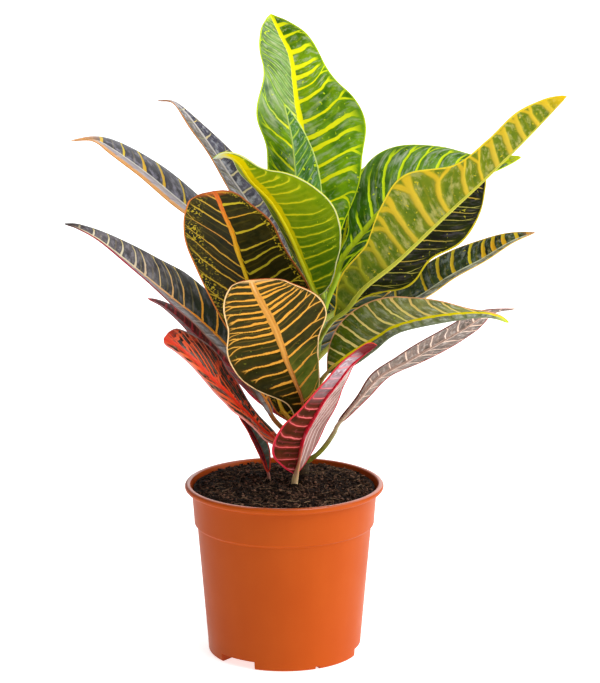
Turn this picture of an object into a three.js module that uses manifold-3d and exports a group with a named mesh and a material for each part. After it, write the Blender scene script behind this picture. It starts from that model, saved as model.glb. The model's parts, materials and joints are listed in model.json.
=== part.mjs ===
// A young croton in its 12 cm nursery pot. Millimetres, +Z up, +Y away from the viewer.
// The origin is the middle of the pot's underside, on the surface the pot stands on.
import * as THREE from "three";
import Module from "manifold-3d";

const wasm = await Module();
wasm.setup();

const GAP = 0.3; // clearance between touching pieces

// Pot: heights and radii of one moulded shell
const RIM_TOP = 104.4;
const RIM_RADIUS = 60;
const LIP_INNER = 56.2; // mouth of the rolled rim
const COLLAR_TOP = 55.4; // outer radius of the collar under the rim
const COLLAR_FOOT = 54.3;
const COLLAR_FOOT_HEIGHT = 81.6;
const BODY_TOP = 52.4; // outer radius of the tapering body
const BODY_FOOT = 46.3;
const WALL = 1.3;
const FLOOR_UNDERSIDE = 5.5;
const FLOOR_TOP = 7;
const PAD_RADIUS = 10; // pad in the middle of the floor, level with the foot ring
const FOOT_INNER = 36.5;
const POT_SEGMENTS = 72;
const NOTCH = { width: 25, height: 5, angles: [-128, -8, 112] }; // degrees round from +X
const SMALL_NOTCH = { width: 3, height: 1.8, angles: [-64, 52, 172] };
const DRAIN = { radius: 3.5, ring: 27, count: 6 };

// Soil: its edge sits a little below the rim and its middle is fuller
const SOIL_EDGE = 101.7;
const SOIL_CROWN = 2.6;
const SOIL_SEGMENTS = 40;
const SOIL_HOLES = [[11, 8, 83.6, 4.95], [6, -6, 94.6, 2.7], [-9, 6, 94.6, 1.6]]; // x, y, bottom, radius

// Stem: its axis from below the soil to the bud, and its radius at each point
const STEM = [[11, 8, 84], [11, 8, 120], [14, 8, 150], [18, 9, 180], [23, 9, 205], [24, 10, 222]];
const STEM_RADIUS = [4.6, 4.4, 4, 3.6, 3, 1.6];

// Leaves
const HALF_BLADE = 0.36; // half the thickness of a blade
const STALK_RADIUS = 1.6;
const TIP_WIDTH = 0.6; // half the width of a leaf's very tip
const VEIN_SWEEP = 0.6; // how far the side veins lean towards the tip
const GATHER = 0.09; // share of the blade in which it gathers into the stalk
const ACROSS = [-1, -0.5, -0.08, 0, 0.08, 0.5, 1];
const ALONG = [0, 0.05, 0.13, 0.25, 0.38, 0.5, 0.62, 0.74, 0.85, 0.94, 1];

const POT_COLOUR = 0xc8602a;
const SOIL_COLOUR = 0x2c211b;
const BARK_COLOUR = 0x8a7356;

// Every leaf: midrib from the stem's axis to the tip; stalk as a share of that length;
// half widths at even steps from the blade's base to its tip; the way its upper side faces
// (base to tip); fold of each half in degrees; bend of each half; edge ripple
// [height, width, waves, left phase, right phase].
const NO_RIPPLE = [0, 0, 1, 0, 0];
const LEAVES = {
  leaf_crown_back: {
    midrib: [[24, 10, 218], [22, 16, 239], [18, 22, 270], [12, 26, 306], [7, 28, 333], [4, 29, 357],
      [-2, 32, 370], [-8, 36, 382]],
    stalk: 0.08, left: [5, 20, 32, 29, 28, 30, 22.5, 20.5, 4], right: [5, 14, 23, 32, 39, 33, 23, 13, 2],
    face: [[0.1, -1, 0.15], [0.15, -1, 0]], fold: [[30, 38], [8, 8]], curl: 12,
    ripple: [2.5, 1.2, 3.2, 0.05, 0.3], colour: 0x5c8f1f,
  },
  leaf_crown_inner: {
    midrib: [[24, 10, 214], [17, 4, 238], [10, 6, 266], [7, 8, 291], [5, 8, 310], [2, 8, 324], [0, 9, 332]],
    stalk: 0.12, left: [3, 8, 12, 14, 12, 7, 1.5], right: [3, 8, 13, 15, 13.5, 8, 1.5],
    face: [[0.5, -1, 0.2], [0.5, -1, 0.1]], fold: [[70, 75], [20, 20]], colour: 0x3f7a4a,
  },
  leaf_lime_front: {
    midrib: [[23, 9, 209], [16, -9, 228], [11, -15, 241], [3, -23, 261], [-7, -31, 280], [-19, -38, 294],
      [-26, -42, 305], [-33, -45, 309], [-40, -47, 308]],
    stalk: 0.1, left: [3, 18, 29, 32.5, 23, 8, 1.5], right: [4, 14, 17, 19, 17, 11, 2],
    face: [[0.3, 0.9, 0.5], [0.1, 0.9, 0.6]], fold: [[12, 12], [57, 57]], curl: 15, colour: 0x94a80c,
  },
  leaf_upper_right: {
    midrib: [[24, 9, 210], [31, 14, 225], [36, 20, 238], [47, 28, 250], [57, 36, 261], [76, 46, 274],
      [101, 54, 281], [125, 58, 286], [144, 58, 293]],
    stalk: 0.13, left: [3, 8, 23.5, 36, 28, 11, 2], right: [3, 11, 15, 12, 9, 7, 2],
    face: [[-0.2, -0.6, 0.8], [-0.1, -0.7, 0.8]], fold: [[20, 20], [38, 38]], curl: 30, colour: 0x3f7524,
  },
  leaf_long_right: {
    midrib: [[19, 9, 187], [28, -4, 204], [37, -9, 213], [47, -14, 227], [66, -21, 244], [94, -30, 273],
      [117, -36, 296], [141, -40, 321], [161, -42, 343]],
    stalk: 0.12, left: [4, 14, 20, 25, 27, 21, 16, 9, 1.5], right: [3, 14.5, 20, 30.5, 35, 19, 16, 15, 4],
    face: [[-0.37, 0.53, 0.76], [-0.3, 0.6, 0.7]], fold: [[50, 42], [50, 42]], curl: 10, colour: 0xa8a32a,
  },
  leaf_dark_right: {
    midrib: [[22, 9, 201], [32, 16, 207], [44, 21, 220], [67, 26, 241], [88, 31, 259], [107, 35, 275],
      [117, 36, 284], [122, 36, 288]],
    stalk: 0.1, left: [3, 11, 13, 12, 11, 10, 2], right: [3, 10.5, 23.5, 20, 24.5, 18, 2],
    face: [[0.1, -0.5, 0.85], [0.2, -0.6, 0.8]], fold: [[20, 20], [5, 5]], colour: 0x2f3a1c,
  },
  leaf_mid_right: {
    midrib: [[18, 8, 177], [37, 18, 192], [61, 26, 203], [82, 32, 212], [100, 37, 223], [120, 41, 233],
      [137, 43, 243], [152, 44, 249]],
    stalk: 0.2, left: [4, 12.5, 18, 20.5, 19, 11.5, 1], right: [3, 12, 15, 12, 10, 6, 1],
    face: [[-0.1, -0.5, 0.9], [0, -0.6, 0.8]], fold: [[0, 0], [46, 46]], curl: 15, colour: 0x50592e,
  },
  leaf_low_right: {
    midrib: [[14, 8, 149], [20, -6, 165], [26, -11, 175], [37, -18, 186], [53, -28, 198.5], [66, -36, 208],
      [88, -47, 216], [111, -54, 219.5], [122, -57, 218.5], [129, -58, 215]],
    stalk: 0.21, left: [1, 20, 26, 21, 13, 3.5, 1.5], right: [2, 9, 10, 9, 9, 6, 2],
    face: [[-0.3, -0.8, 0.4], [-0.2, -0.35, 0.9], [0.1, -0.3, 0.95]], fold: [[25, 20], [12, 12]],
    colour: 0x5e6e1e,
  },
  leaf_curled_right: {
    midrib: [[11, 8, 114], [19, 3, 120], [25, 1, 127], [30, -3, 136], [33, -6, 143], [45, -13, 160],
      [57, -20, 175], [73, -28, 186], [86, -33, 195], [104, -37, 206.5], [119, -39, 216.5], [134, -39, 219]],
    stalk: 0.22, left: [3, 6.5, 8, 12.5, 17, 12, 1.5], right: [2, 2.5, 7.5, 12, 15, 14, 3.5],
    face: [[0.1, 0.7, 0.7], [0.2, 0.5, 0.8]], fold: [[30, 26], [-5, -5]], colour: 0x84706c,
  },
  leaf_red_front: {
    midrib: [[6, -6, 95], [6, -6, 103], [7, -8, 111], [9, -12, 122], [12, -19, 138], [18, -25, 151],
      [24, -31, 163], [32, -37, 175], [39, -43, 186], [46, -46, 193], [54, -46, 199]],
    stalk: 0.13, left: [3, 16, 20, 17.5, 9.5, 3, 1.5], right: [3, 19, 20, 13, 11, 9.5, 9],
    face: [[-0.1, 0.9, 0.5], [-0.1, 0.9, 0.5]], fold: [[50, 50], [-12, -12]],
    colour: 0x9a3a40, stalkRadius: 2.1,
  },
  leaf_olive_front: {
    midrib: [[11, 8, 119], [12, -7, 139], [11, -15, 158], [6, -25, 174], [2, -34, 186], [-1, -43, 197],
      [-5, -54, 211], [-10, -66, 224], [-15, -78, 236], [-18, -89, 246]],
    stalk: 0.14, left: [4, 9, 15, 19, 23, 31, 31, 24, 16], right: [3, 10, 27.5, 32.5, 27, 22.5, 9],
    face: [[0, 0.9, 0.5], [0.1, 0.75, 0.7]], fold: [[35, 12], [-4, 6]], curl: 10, colour: 0x5e4c1c,
  },
  leaf_brown_front: {
    midrib: [[12, 8, 130], [3, -4, 145], [-3, -9, 157], [-10, -19, 191], [-16, -29, 216], [-21, -38, 236],
      [-26, -46, 253], [-29, -53, 266], [-33, -60, 277], [-37, -67, 289], [-39, -70, 293]],
    stalk: 0.1, left: [4, 18.5, 29, 34, 28, 23, 9], right: [3, 8, 18, 25, 29, 29, 15],
    face: [[0, 0.9, 0.5], [0.1, 0.75, 0.7]], fold: [[12, 12], [12, 12]], curl: 10, colour: 0x4c3a14,
  },
  leaf_upper_left: {
    midrib: [[22, 8, 203], [10, 18, 220], [-6, 26, 243], [-21, 33, 268], [-31, 38, 282], [-46, 43, 304],
      [-58, 46, 320], [-67, 47, 328], [-76, 47, 329]],
    stalk: 0.15, left: [3, 14, 16, 13, 8, 8, 1.5], right: [3, 14, 20, 20, 12, 4, 1],
    face: [[0.3, -0.3, 0.9], [-0.3, -0.3, 0.9]], fold: [[36, 36], [0, 0]], colour: 0x5a5650,
  },
  leaf_mid_left: {
    midrib: [[19, 9, 183], [-1, 15, 209], [-26, 22, 239], [-44, 27, 257], [-61, 31, 269], [-82, 35, 286],
      [-102, 38, 300], [-114, 39, 306], [-128, 39, 306]],
    stalk: 0.2, left: [3, 13, 20, 18, 16, 14, 1.5], right: [3, 13, 18, 20.5, 19, 13, 1.5],
    face: [[0.1, -0.3, 0.9], [-0.2, -0.3, 0.9]], fold: [[35, 35], [0, 0]], colour: 0x4c4c3a,
  },
  leaf_long_left: {
    midrib: [[12, 8, 125], [-4, -1, 141], [-11, -4, 155], [-20, -7, 171], [-33, -10, 189], [-49, -13, 206],
      [-65, -17, 220], [-86, -22, 239], [-106, -25, 256], [-119, -27, 264], [-127, -28, 267]],
    stalk: 0.15, left: [5, 15, 16, 18, 8.5, 3.5, 1.5], right: [3, 15, 20, 28, 20, 10, 1.5],
    face: [[0.1, -0.3, 0.9], [-0.2, -0.3, 0.9]], fold: [[20, 30], [22, 22]], colour: 0x53493c,
  },
  leaf_wine_left: {
    midrib: [[13, 8, 135], [-13, 15, 150], [-33, 18, 171], [-50, 20, 187], [-62, 21, 199], [-73, 21, 208],
      [-82, 20, 213]],
    stalk: 0.25, left: [2, 7, 9.5, 9.5, 8, 5.5, 1], right: [2, 8, 13, 14, 12, 7, 1.5],
    face: [[0, -0.2, 1], [0, -0.2, 1]], fold: [[25, 25], [20, 20]], colour: 0x6e1420,
  },
  leaf_red_left: {
    midrib: [[11, 8, 112], [4, -6, 124], [-4, -11, 132], [-13, -13, 140], [-22, -18, 151], [-32, -23, 163],
      [-41, -27, 173], [-53, -31, 187], [-63, -33, 196], [-70, -33, 200]],
    stalk: 0.2, left: [3, 9, 10, 14, 8, 6.5, 6], right: [3, 7, 9.5, 15.5, 17, 15, 10],
    face: [[0, -0.5, 0.85], [-0.2, -0.5, 0.8]], fold: [[30, 30], [10, 10]], colour: 0xb03420,
  },
  leaf_basal_left: {
    midrib: [[-9, 6, 95], [-9, 6, 103], [-10, 5, 110], [-13, 3, 122], [-19, 1, 135], [-25, 0, 145],
      [-29, 0, 154]],
    stalk: 0.22, left: [1.5, 4, 6, 6, 5, 4, 1], right: [1.5, 4, 6, 6, 5, 4, 1],
    face: [[0.1, -0.8, 0.5], [0.1, -0.8, 0.5]], fold: [[58, 58], [58, 58]],
    colour: 0x6a2a34, stalkRadius: 1.1,
  },
  leaf_back_upper: {
    midrib: [[24, 11, 208], [33, 42, 229], [39, 66, 252], [46, 80, 268], [52, 88, 279], [57, 90, 284]],
    stalk: 0.15, left: [3, 14, 18, 18, 14, 8, 2], right: [3, 14, 18, 18, 14, 8, 2],
    face: [[-0.3, -0.7, 0.7], [-0.3, -0.7, 0.7]], fold: [[30, 30], [30, 30]], colour: 0x4f6a2c,
  },
  leaf_back_left: {
    midrib: [[21, 9, 195], [11, 40, 212], [2, 72, 230], [-6, 102, 241], [-13, 125, 244]],
    stalk: 0.15, left: [3, 17, 24, 25, 21, 12, 2], right: [3, 17, 24, 25, 21, 12, 2],
    face: [[0.1, -0.6, 0.8], [0, -0.3, 0.9]], fold: [[20, 20], [20, 20]], colour: 0x4a6428,
  },
  leaf_back_right: {
    midrib: [[20, 9, 191], [34, 38, 202], [48, 70, 216], [62, 100, 225], [72, 124, 228]],
    stalk: 0.15, left: [3, 17, 24, 25, 21, 12, 2], right: [3, 17, 24, 25, 21, 12, 2],
    face: [[-0.1, -0.6, 0.8], [0, -0.3, 0.9]], fold: [[20, 20], [20, 20]], colour: 0x4a5628,
  },
  leaf_back_middle: {
    midrib: [[16, 8, 168], [16, 45, 177], [13, 82, 185], [10, 115, 185], [7, 138, 180]],
    stalk: 0.15, left: [3, 17, 24, 25, 21, 12, 2], right: [3, 17, 24, 25, 21, 12, 2],
    face: [[0, -0.6, 0.8], [0, -0.3, 0.9]], fold: [[20, 20], [20, 20]], colour: 0x54401c,
  },
  leaf_back_low: {
    midrib: [[15, 8, 157], [5, 38, 165], [-6, 70, 170], [-16, 98, 169], [-23, 118, 163]],
    stalk: 0.15, left: [3, 15, 21, 22, 18, 10, 2], right: [3, 15, 21, 22, 18, 10, 2],
    face: [[0.1, -0.5, 0.8], [0, -0.3, 0.9]], fold: [[20, 20], [20, 20]], colour: 0x6a3424,
  },
};

const { clamp, degToRad, lerp } = THREE.MathUtils;

// Value at x (0 to 1) of a Catmull-Rom curve through evenly spaced numbers.
function smooth(values, x) {
  const last = values.length - 1;
  const s = clamp(x, 0, 1) * last;
  const i = Math.min(Math.floor(s), last - 1);
  const f = s - i;
  const [b, c] = [values[i], values[i + 1]];
  const a = i > 0 ? values[i - 1] : 2 * b - c;
  const d = i < last - 1 ? values[i + 2] : 2 * c - b;
  const bend = (2 * a - 5 * b + 4 * c - d) * f * f + (3 * b - a - 3 * c + d) * f ** 3;
  return 0.5 * (2 * b + (c - a) * f + bend);
}

// Value at x (0 to 1) on straight lines between evenly spaced numbers.
function blend(values, x) {
  const s = clamp(x, 0, 1) * (values.length - 1);
  const i = Math.min(Math.floor(s), values.length - 2);
  return lerp(values[i], values[i + 1], s - i);
}

// Each coordinate of a list of points, put through the same rule.
const eachAxis = (points, rule) => new THREE.Vector3(...[0, 1, 2].map((k) => rule(points.map((p) => p[k]))));

// A smooth curve through points, asked for by share of its length.
function curve(points) {
  const steps = 400;
  const samples = [];
  for (let i = 0; i <= steps; i++) samples.push(eachAxis(points, (values) => smooth(values, i / steps)));
  const run = [0];
  for (let i = 1; i <= steps; i++) run.push(run[i - 1] + samples[i].distanceTo(samples[i - 1]));
  const length = run[steps];
  const point = (share) => {
    const want = clamp(share, 0, 1) * length;
    let i = 1;
    while (i < steps && run[i] < want) i++;
    return samples[i - 1].clone().lerp(samples[i], (want - run[i - 1]) / (run[i] - run[i - 1]));
  };
  const near = 0.02;
  const tangent = (share) =>
    point(Math.min(share + near, 1)).sub(point(Math.max(share - near, 0))).normalize();
  return { length, point, tangent };
}

// A manifold solid, its faces turned outwards whichever way round they came.
function solidOf(vertices, faces) {
  const make = () =>
    new wasm.Manifold(
      new wasm.Mesh({
        numProp: 3,
        vertProperties: new Float32Array(vertices),
        triVerts: new Uint32Array(faces),
      }),
    );
  const made = make();
  if (made.volume() > 0) return made;
  for (let i = 0; i < faces.length; i += 3) [faces[i + 1], faces[i + 2]] = [faces[i + 2], faces[i + 1]];
  return make();
}

// Joins equal rings of points into a closed solid with flat ends. From the corner flipFrom on, the
// squares are split the other way, so that the two faces of a blade are split alike.
function loft(rings, flipFrom = Infinity) {
  const n = rings[0].length;
  const vertices = rings.flat().flatMap((p) => [p.x, p.y, p.z]);
  const faces = [];
  for (let i = 0; i < rings.length - 1; i++) {
    for (let j = 0; j < n; j++) {
      const k = (j + 1) % n;
      const [a, b, c, d] = [i * n + j, i * n + k, (i + 1) * n + k, (i + 1) * n + j];
      if (j < flipFrom) faces.push(a, b, c, a, c, d);
      else faces.push(a, b, d, b, c, d);
    }
  }
  const end = (rings.length - 1) * n;
  for (let j = 1; j < n - 1; j++) faces.push(0, j + 1, j, end, end + j, end + j + 1);
  return solidOf(vertices, faces);
}

// A solid from a closed three.js geometry, with equal corners merged.
function weld(geometry) {
  const position = geometry.getAttribute("position");
  const known = new Map();
  const vertices = [];
  const corner = [];
  for (let i = 0; i < position.count; i++) {
    const p = [position.getX(i), position.getY(i), position.getZ(i)];
    const key = p.map((v) => Math.round(v * 1e4)).join();
    if (!known.has(key)) {
      known.set(key, vertices.length / 3);
      vertices.push(...p);
    }
    corner.push(known.get(key));
  }
  const index = geometry.index.array;
  const faces = [];
  for (let i = 0; i < index.length; i += 3) {
    const [a, b, c] = [corner[index[i]], corner[index[i + 1]], corner[index[i + 2]]];
    if (a !== b && b !== c && c !== a) faces.push(a, b, c);
  }
  return solidOf(vertices, faces);
}

const upright = (radius, height, sides) =>
  new THREE.CylinderGeometry(radius, radius, height, sides).rotateX(Math.PI / 2);

// A block that reaches outwards from the axis between two radii, turned to an angle.
function radialBlock(inner, outer, width, height, angle) {
  const block = new THREE.BoxGeometry(outer - inner, width, height).translate((inner + outer) / 2, 0, 0);
  return weld(block.rotateZ(degToRad(angle)));
}

// The shell of the pot: foot ring, tapering body, collar and rolled rim, then back down inside.
function potShell() {
  const outside = [
    [0, 0], [PAD_RADIUS, 0], [PAD_RADIUS + 1, FLOOR_UNDERSIDE], [FOOT_INNER - 0.6, FLOOR_UNDERSIDE],
    [FOOT_INNER, 0], [BODY_FOOT - 1.7, 0], [BODY_FOOT - 0.5, 1.2], [BODY_FOOT, 4],
    [BODY_TOP, COLLAR_FOOT_HEIGHT - 4], [COLLAR_FOOT, COLLAR_FOOT_HEIGHT], [COLLAR_TOP, RIM_TOP - 8.4],
    [COLLAR_TOP + 0.9, RIM_TOP - 6.2], [RIM_RADIUS - 1.8, RIM_TOP - 4.9], [RIM_RADIUS - 0.4, RIM_TOP - 3.7],
    [RIM_RADIUS, RIM_TOP - 2.2], [RIM_RADIUS - 0.6, RIM_TOP - 0.7], [RIM_RADIUS - 1.8, RIM_TOP],
  ];
  const inside = [
    [LIP_INNER + 0.8, RIM_TOP - 0.2], [LIP_INNER, RIM_TOP - 1.2], [LIP_INNER - 0.9, RIM_TOP - 3.4],
    [COLLAR_TOP - WALL, RIM_TOP - 10.4], [COLLAR_FOOT - WALL + 0.1, COLLAR_FOOT_HEIGHT + 1.4],
    [BODY_TOP - WALL, COLLAR_FOOT_HEIGHT - 2.6], [BODY_FOOT - WALL + 0.1, FLOOR_TOP + 1.4],
    [BODY_FOOT - WALL - 0.8, FLOOR_TOP], [0, FLOOR_TOP],
  ];
  const outline = [...outside, ...inside].map(([r, z]) => new THREE.Vector2(r, z));
  return weld(new THREE.LatheGeometry(outline, POT_SEGMENTS).rotateX(Math.PI / 2));
}

// The pot with the notches in its foot and the drain holes in its floor.
function makePot() {
  let pot = potShell();
  for (const { width, height, angles } of [NOTCH, SMALL_NOTCH])
    for (const angle of angles)
      pot = pot.subtract(radialBlock(FOOT_INNER - 4, RIM_RADIUS, width, 2 * height, angle));
  for (let i = 0; i < DRAIN.count; i++) {
    const hole = upright(DRAIN.radius, 6, 16).translate(DRAIN.ring, 0, (FLOOR_UNDERSIDE + FLOOR_TOP) / 2);
    pot = pot.subtract(weld(hole.rotateZ((i * 2 * Math.PI) / DRAIN.count)));
  }
  return pot;
}

// Height of the soil's surface: fuller towards the middle, with low lumps.
function soilHeight(x, y) {
  const out = Math.min(1, Math.hypot(x, y) / COLLAR_TOP);
  const wide = 0.5 * Math.sin(x / 6.1 + 1.3) * Math.cos(y / 5.3 + 0.4);
  const fine = 0.35 * Math.sin(x / 3.6 + 2) * Math.sin(y / 4.2);
  return SOIL_EDGE + SOIL_CROWN * (1 - out ** 2) + (wide + fine) * (1 - out ** 6);
}

// The soil fills the pot, with plain holes for the stem and the two stalks that rise from it.
function makeSoil() {
  const ring = (radius, height) => {
    const points = [];
    for (let j = 0; j < SOIL_SEGMENTS; j++) {
      const angle = (j / SOIL_SEGMENTS) * Math.PI * 2;
      const [x, y] = [radius * Math.cos(angle), radius * Math.sin(angle)];
      points.push(new THREE.Vector3(x, y, height ?? soilHeight(x, y)));
    }
    return points;
  };
  const inset = WALL + 0.4; // from the pot's outer face to the soil
  const wall = [
    [BODY_FOOT - inset - 0.8, FLOOR_TOP + GAP], [BODY_FOOT - inset + 0.2, FLOOR_TOP + 1.6],
    [BODY_TOP - inset, COLLAR_FOOT_HEIGHT - 2.5], [COLLAR_FOOT - inset, COLLAR_FOOT_HEIGHT + 1.6],
    [COLLAR_TOP - inset, RIM_TOP - 10.4],
  ];
  const surface = [LIP_INNER - 1.8, 47, 39, 31, 23, 15, 7.5, 0.5];
  let soil = loft([...wall.map(([r, z]) => ring(r, z)), ...surface.map((r) => ring(r))]);
  for (const [x, y, bottom, radius] of SOIL_HOLES) {
    const depth = 2 * (RIM_TOP - bottom);
    soil = soil.subtract(weld(upright(radius, depth, 24).translate(x, y, bottom + depth / 2)));
  }
  return soil;
}

// A round rod along the stem's axis, as much wider than the stem as asked.
function stemRod(wider, sides, rows) {
  const axis = curve(STEM);
  const rings = [];
  for (let i = 0; i <= rows; i++) {
    const forward = axis.tangent(i / rows);
    const side = new THREE.Vector3(0, 1, 0).cross(forward).normalize();
    const up = forward.clone().cross(side);
    const radius = smooth(STEM_RADIUS, i / rows) + wider;
    const ring = [];
    for (let j = 0; j < sides; j++) {
      const angle = (j / sides) * Math.PI * 2;
      const point = axis.point(i / rows).addScaledVector(side, radius * Math.cos(angle));
      ring.push(point.addScaledVector(up, radius * Math.sin(angle)));
    }
    rings.push(ring);
  }
  return loft(rings);
}

// Half width of a blade at q (base 0 to tip 1) on one side, its ends rounded and its edge rippled.
function halfWidth(leaf, q, side) {
  const [, rippleWidth, waves, leftPhase, rightPhase] = leaf.ripple;
  const phase = side < 0 ? leftPhase : rightPhase;
  const plain = smooth(side < 0 ? leaf.left : leaf.right, q);
  const width = plain + rippleWidth * Math.sin(2 * Math.PI * (waves * q + phase)) * Math.min(1, plain / 10);
  const round = (x) => Math.sqrt(1 - (1 - clamp(x, 0, 1)) ** 2);
  return Math.max(width, 0) * round(q / 0.06) * round((1 - q) / 0.05);
}

// The leaf's own directions at a share of its midrib: across it and out of its upper side.
function leafAxes(leaf, path, share, q) {
  const forward = path.tangent(share);
  const up = eachAxis(leaf.face, (values) => blend(values, q));
  up.addScaledVector(forward, -up.dot(forward)).normalize();
  return { across: forward.clone().cross(up), up };
}

// Upper and lower outline of a leaf stalk at v across it, as [across, up].
function stalkSection(radius, v) {
  const angle = (v * Math.PI) / 2;
  const height = (radius - HALF_BLADE) * Math.cos(angle);
  return [
    [radius * Math.sin(angle), HALF_BLADE + 0.8 * height],
    [radius * Math.sin(angle), -HALF_BLADE - height],
  ];
}

// Upper and lower outline of a blade at q along it and v across it, as [across, up].
function bladeSection(leaf, q, v) {
  const side = v < 0 ? -1 : 1;
  const out = Math.abs(v);
  const width = Math.max(halfWidth(leaf, q, side), TIP_WIDTH);
  const folds = leaf.fold.map((half) => degToRad(blend(half, q)));
  const fold = side < 0 ? folds[0] : folds[1];
  const bend = degToRad(leaf.curl);
  const [rippleHeight, , waves, leftPhase, rightPhase] = leaf.ripple;
  const phase = side < 0 ? leftPhase : rightPhase;
  const wave = Math.sin(2 * Math.PI * (waves * q + phase)) * Math.min(1, width / 12);
  const across = (width * (Math.sin(fold) - Math.sin(fold - bend * out))) / bend;
  const up = (width * (Math.cos(fold - bend * out) - Math.cos(fold))) / bend + rippleHeight * out ** 2 * wave;
  // On the midrib the two halves meet at a fold, so the blade is thicker there, with a rib below.
  const tilt = out === 0 ? 0 : side * (fold - bend * out);
  const skin = HALF_BLADE * (out === 0 ? Math.min(2, 1 / Math.cos((folds[0] + folds[1]) / 2)) : 1);
  const ribShare = out === 0 ? 1 : out < 0.1 ? 0.4 : 0;
  const rib = leaf.stalkRadius * (1 - 0.75 * q) * ribShare;
  const [dx, dz] = [-Math.sin(tilt) * skin, Math.cos(tilt) * skin];
  return [[side * across + dx, up + dz], [side * across - dx, up - dz - rib]];
}

// One leaf: rings along its stalk, then rings along its blade that follow its side veins.
function makeLeaf(leaf) {
  const path = curve(leaf.midrib);
  const bladeLength = (1 - leaf.stalk) * path.length;
  const place = (share, q, section) => {
    const { across, up } = leafAxes(leaf, path, share, q);
    return section.map(([x, z]) => path.point(share).addScaledVector(across, x).addScaledVector(up, z));
  };
  const ringOf = (pairs) => [...pairs.map(([top]) => top), ...pairs.map(([, bottom]) => bottom).reverse()];
  const stalkAt = (v) => stalkSection(leaf.stalkRadius, v);
  const rings = [];
  const stalkRings = leaf.stalk > 0.18 ? 4 : 3;
  for (let i = 0; i < stalkRings; i++)
    rings.push(ringOf(ACROSS.map((v) => place((leaf.stalk * i) / stalkRings, 0, stalkAt(v)))));
  for (const s of ALONG) {
    const gathered = clamp(1 - s / GATHER, 0, 1);
    const pairs = ACROSS.map((v) => {
      const width = halfWidth(leaf, s, v < 0 ? -1 : 1);
      const lean = VEIN_SWEEP * width * Math.abs(v) ** 1.3 * clamp((1 - s) * 3, 0, 1);
      const q = clamp(s + lean / bladeLength, 0, 1);
      const stalk = stalkAt(v);
      const section = bladeSection(leaf, q, v).map(([x, z], face) => [
        lerp(x, stalk[face][0], gathered),
        lerp(z, stalk[face][1], gathered),
      ]);
      return place(lerp(leaf.stalk, 1, q), q, section);
    });
    rings.push(ringOf(pairs));
  }
  return loft(rings, ACROSS.length);
}

// A named three.js mesh from a solid.
function meshOf(name, solid, colour, roughness) {
  const { vertProperties, triVerts, numProp } = solid.getMesh();
  const positions = new Float32Array((vertProperties.length / numProp) * 3);
  for (let i = 0; i < positions.length / 3; i++)
    positions.set(vertProperties.subarray(i * numProp, i * numProp + 3), i * 3);
  const geometry = new THREE.BufferGeometry();
  geometry.setAttribute("position", new THREE.BufferAttribute(positions, 3));
  geometry.setIndex(new THREE.BufferAttribute(new Uint32Array(triVerts), 1));
  geometry.computeVertexNormals();
  const material = new THREE.MeshStandardMaterial({ color: colour, roughness, metalness: 0 });
  const mesh = new THREE.Mesh(geometry, material);
  mesh.name = name;
  return mesh;
}

const plant = new THREE.Group();
plant.name = "potted_croton";
plant.add(meshOf("pot", makePot(), POT_COLOUR, 0.45));
plant.add(meshOf("soil", makeSoil(), SOIL_COLOUR, 0.95));
plant.add(meshOf("stem", stemRod(0, 12, 14), BARK_COLOUR, 0.8));

// Leaves grow from the stem, so each is cut back to just outside it.
const sleeve = stemRod(GAP, 16, 28);
for (const [name, traits] of Object.entries(LEAVES)) {
  const leaf = { stalkRadius: STALK_RADIUS, ripple: NO_RIPPLE, curl: 20, ...traits };
  plant.add(meshOf(name, makeLeaf(leaf).subtract(sleeve), leaf.colour, 0.4));
}

export default plant;
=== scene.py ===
# %% [markdown]
# # A potted croton
# A croton is a house plant with stiff, waved leaves. Pale or bright veins cross each leaf like the bars
# of a ladder, and the two sides of a leaf differ: the upper side is glossy, the underside is duller and
# its veins stand out. This lesson dresses a plain model of the plant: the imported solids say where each
# leaf, the stem, the soil and the pot are, and Blender gives them their fine shape and their finish.

import json
import math

import bpy
import numpy as np
from mathutils import Matrix, Vector, noise

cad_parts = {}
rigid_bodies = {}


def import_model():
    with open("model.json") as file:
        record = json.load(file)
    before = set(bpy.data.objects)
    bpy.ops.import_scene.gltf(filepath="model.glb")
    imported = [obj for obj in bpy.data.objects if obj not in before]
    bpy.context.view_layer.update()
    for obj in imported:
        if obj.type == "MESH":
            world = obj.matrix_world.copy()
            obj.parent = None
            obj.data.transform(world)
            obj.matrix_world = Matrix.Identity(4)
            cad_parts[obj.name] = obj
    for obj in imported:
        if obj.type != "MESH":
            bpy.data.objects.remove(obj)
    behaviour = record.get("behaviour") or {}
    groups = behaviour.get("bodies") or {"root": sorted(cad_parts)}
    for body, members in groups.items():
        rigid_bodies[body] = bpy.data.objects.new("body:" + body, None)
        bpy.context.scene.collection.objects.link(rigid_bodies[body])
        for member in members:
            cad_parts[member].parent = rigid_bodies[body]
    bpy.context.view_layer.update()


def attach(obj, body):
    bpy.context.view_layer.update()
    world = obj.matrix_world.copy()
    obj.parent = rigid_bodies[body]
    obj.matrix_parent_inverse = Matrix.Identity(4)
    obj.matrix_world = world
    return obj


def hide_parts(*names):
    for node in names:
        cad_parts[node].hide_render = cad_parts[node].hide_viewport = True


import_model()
MM = 0.001  # Blender works in metres, the sizes below are in millimetres

# %% [markdown]
# ## Helpers for colours and nodes
# Colours are written as sRGB hex values, as a colour picker shows them. Shaders work in linear light, so
# one function turns them. A second one adds a shader node with its inputs and settings and gives back its
# output, so that a pattern can be written as nested calls.

# %% Colour and node helpers
def colour(code):
    """sRGB hex to linear RGBA."""
    parts = [int(code[i : i + 2], 16) / 255 for i in (1, 3, 5)]
    return [c / 12.92 if c <= 0.04045 else ((c + 0.055) / 1.055) ** 2.4 for c in parts] + [1.0]


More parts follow.
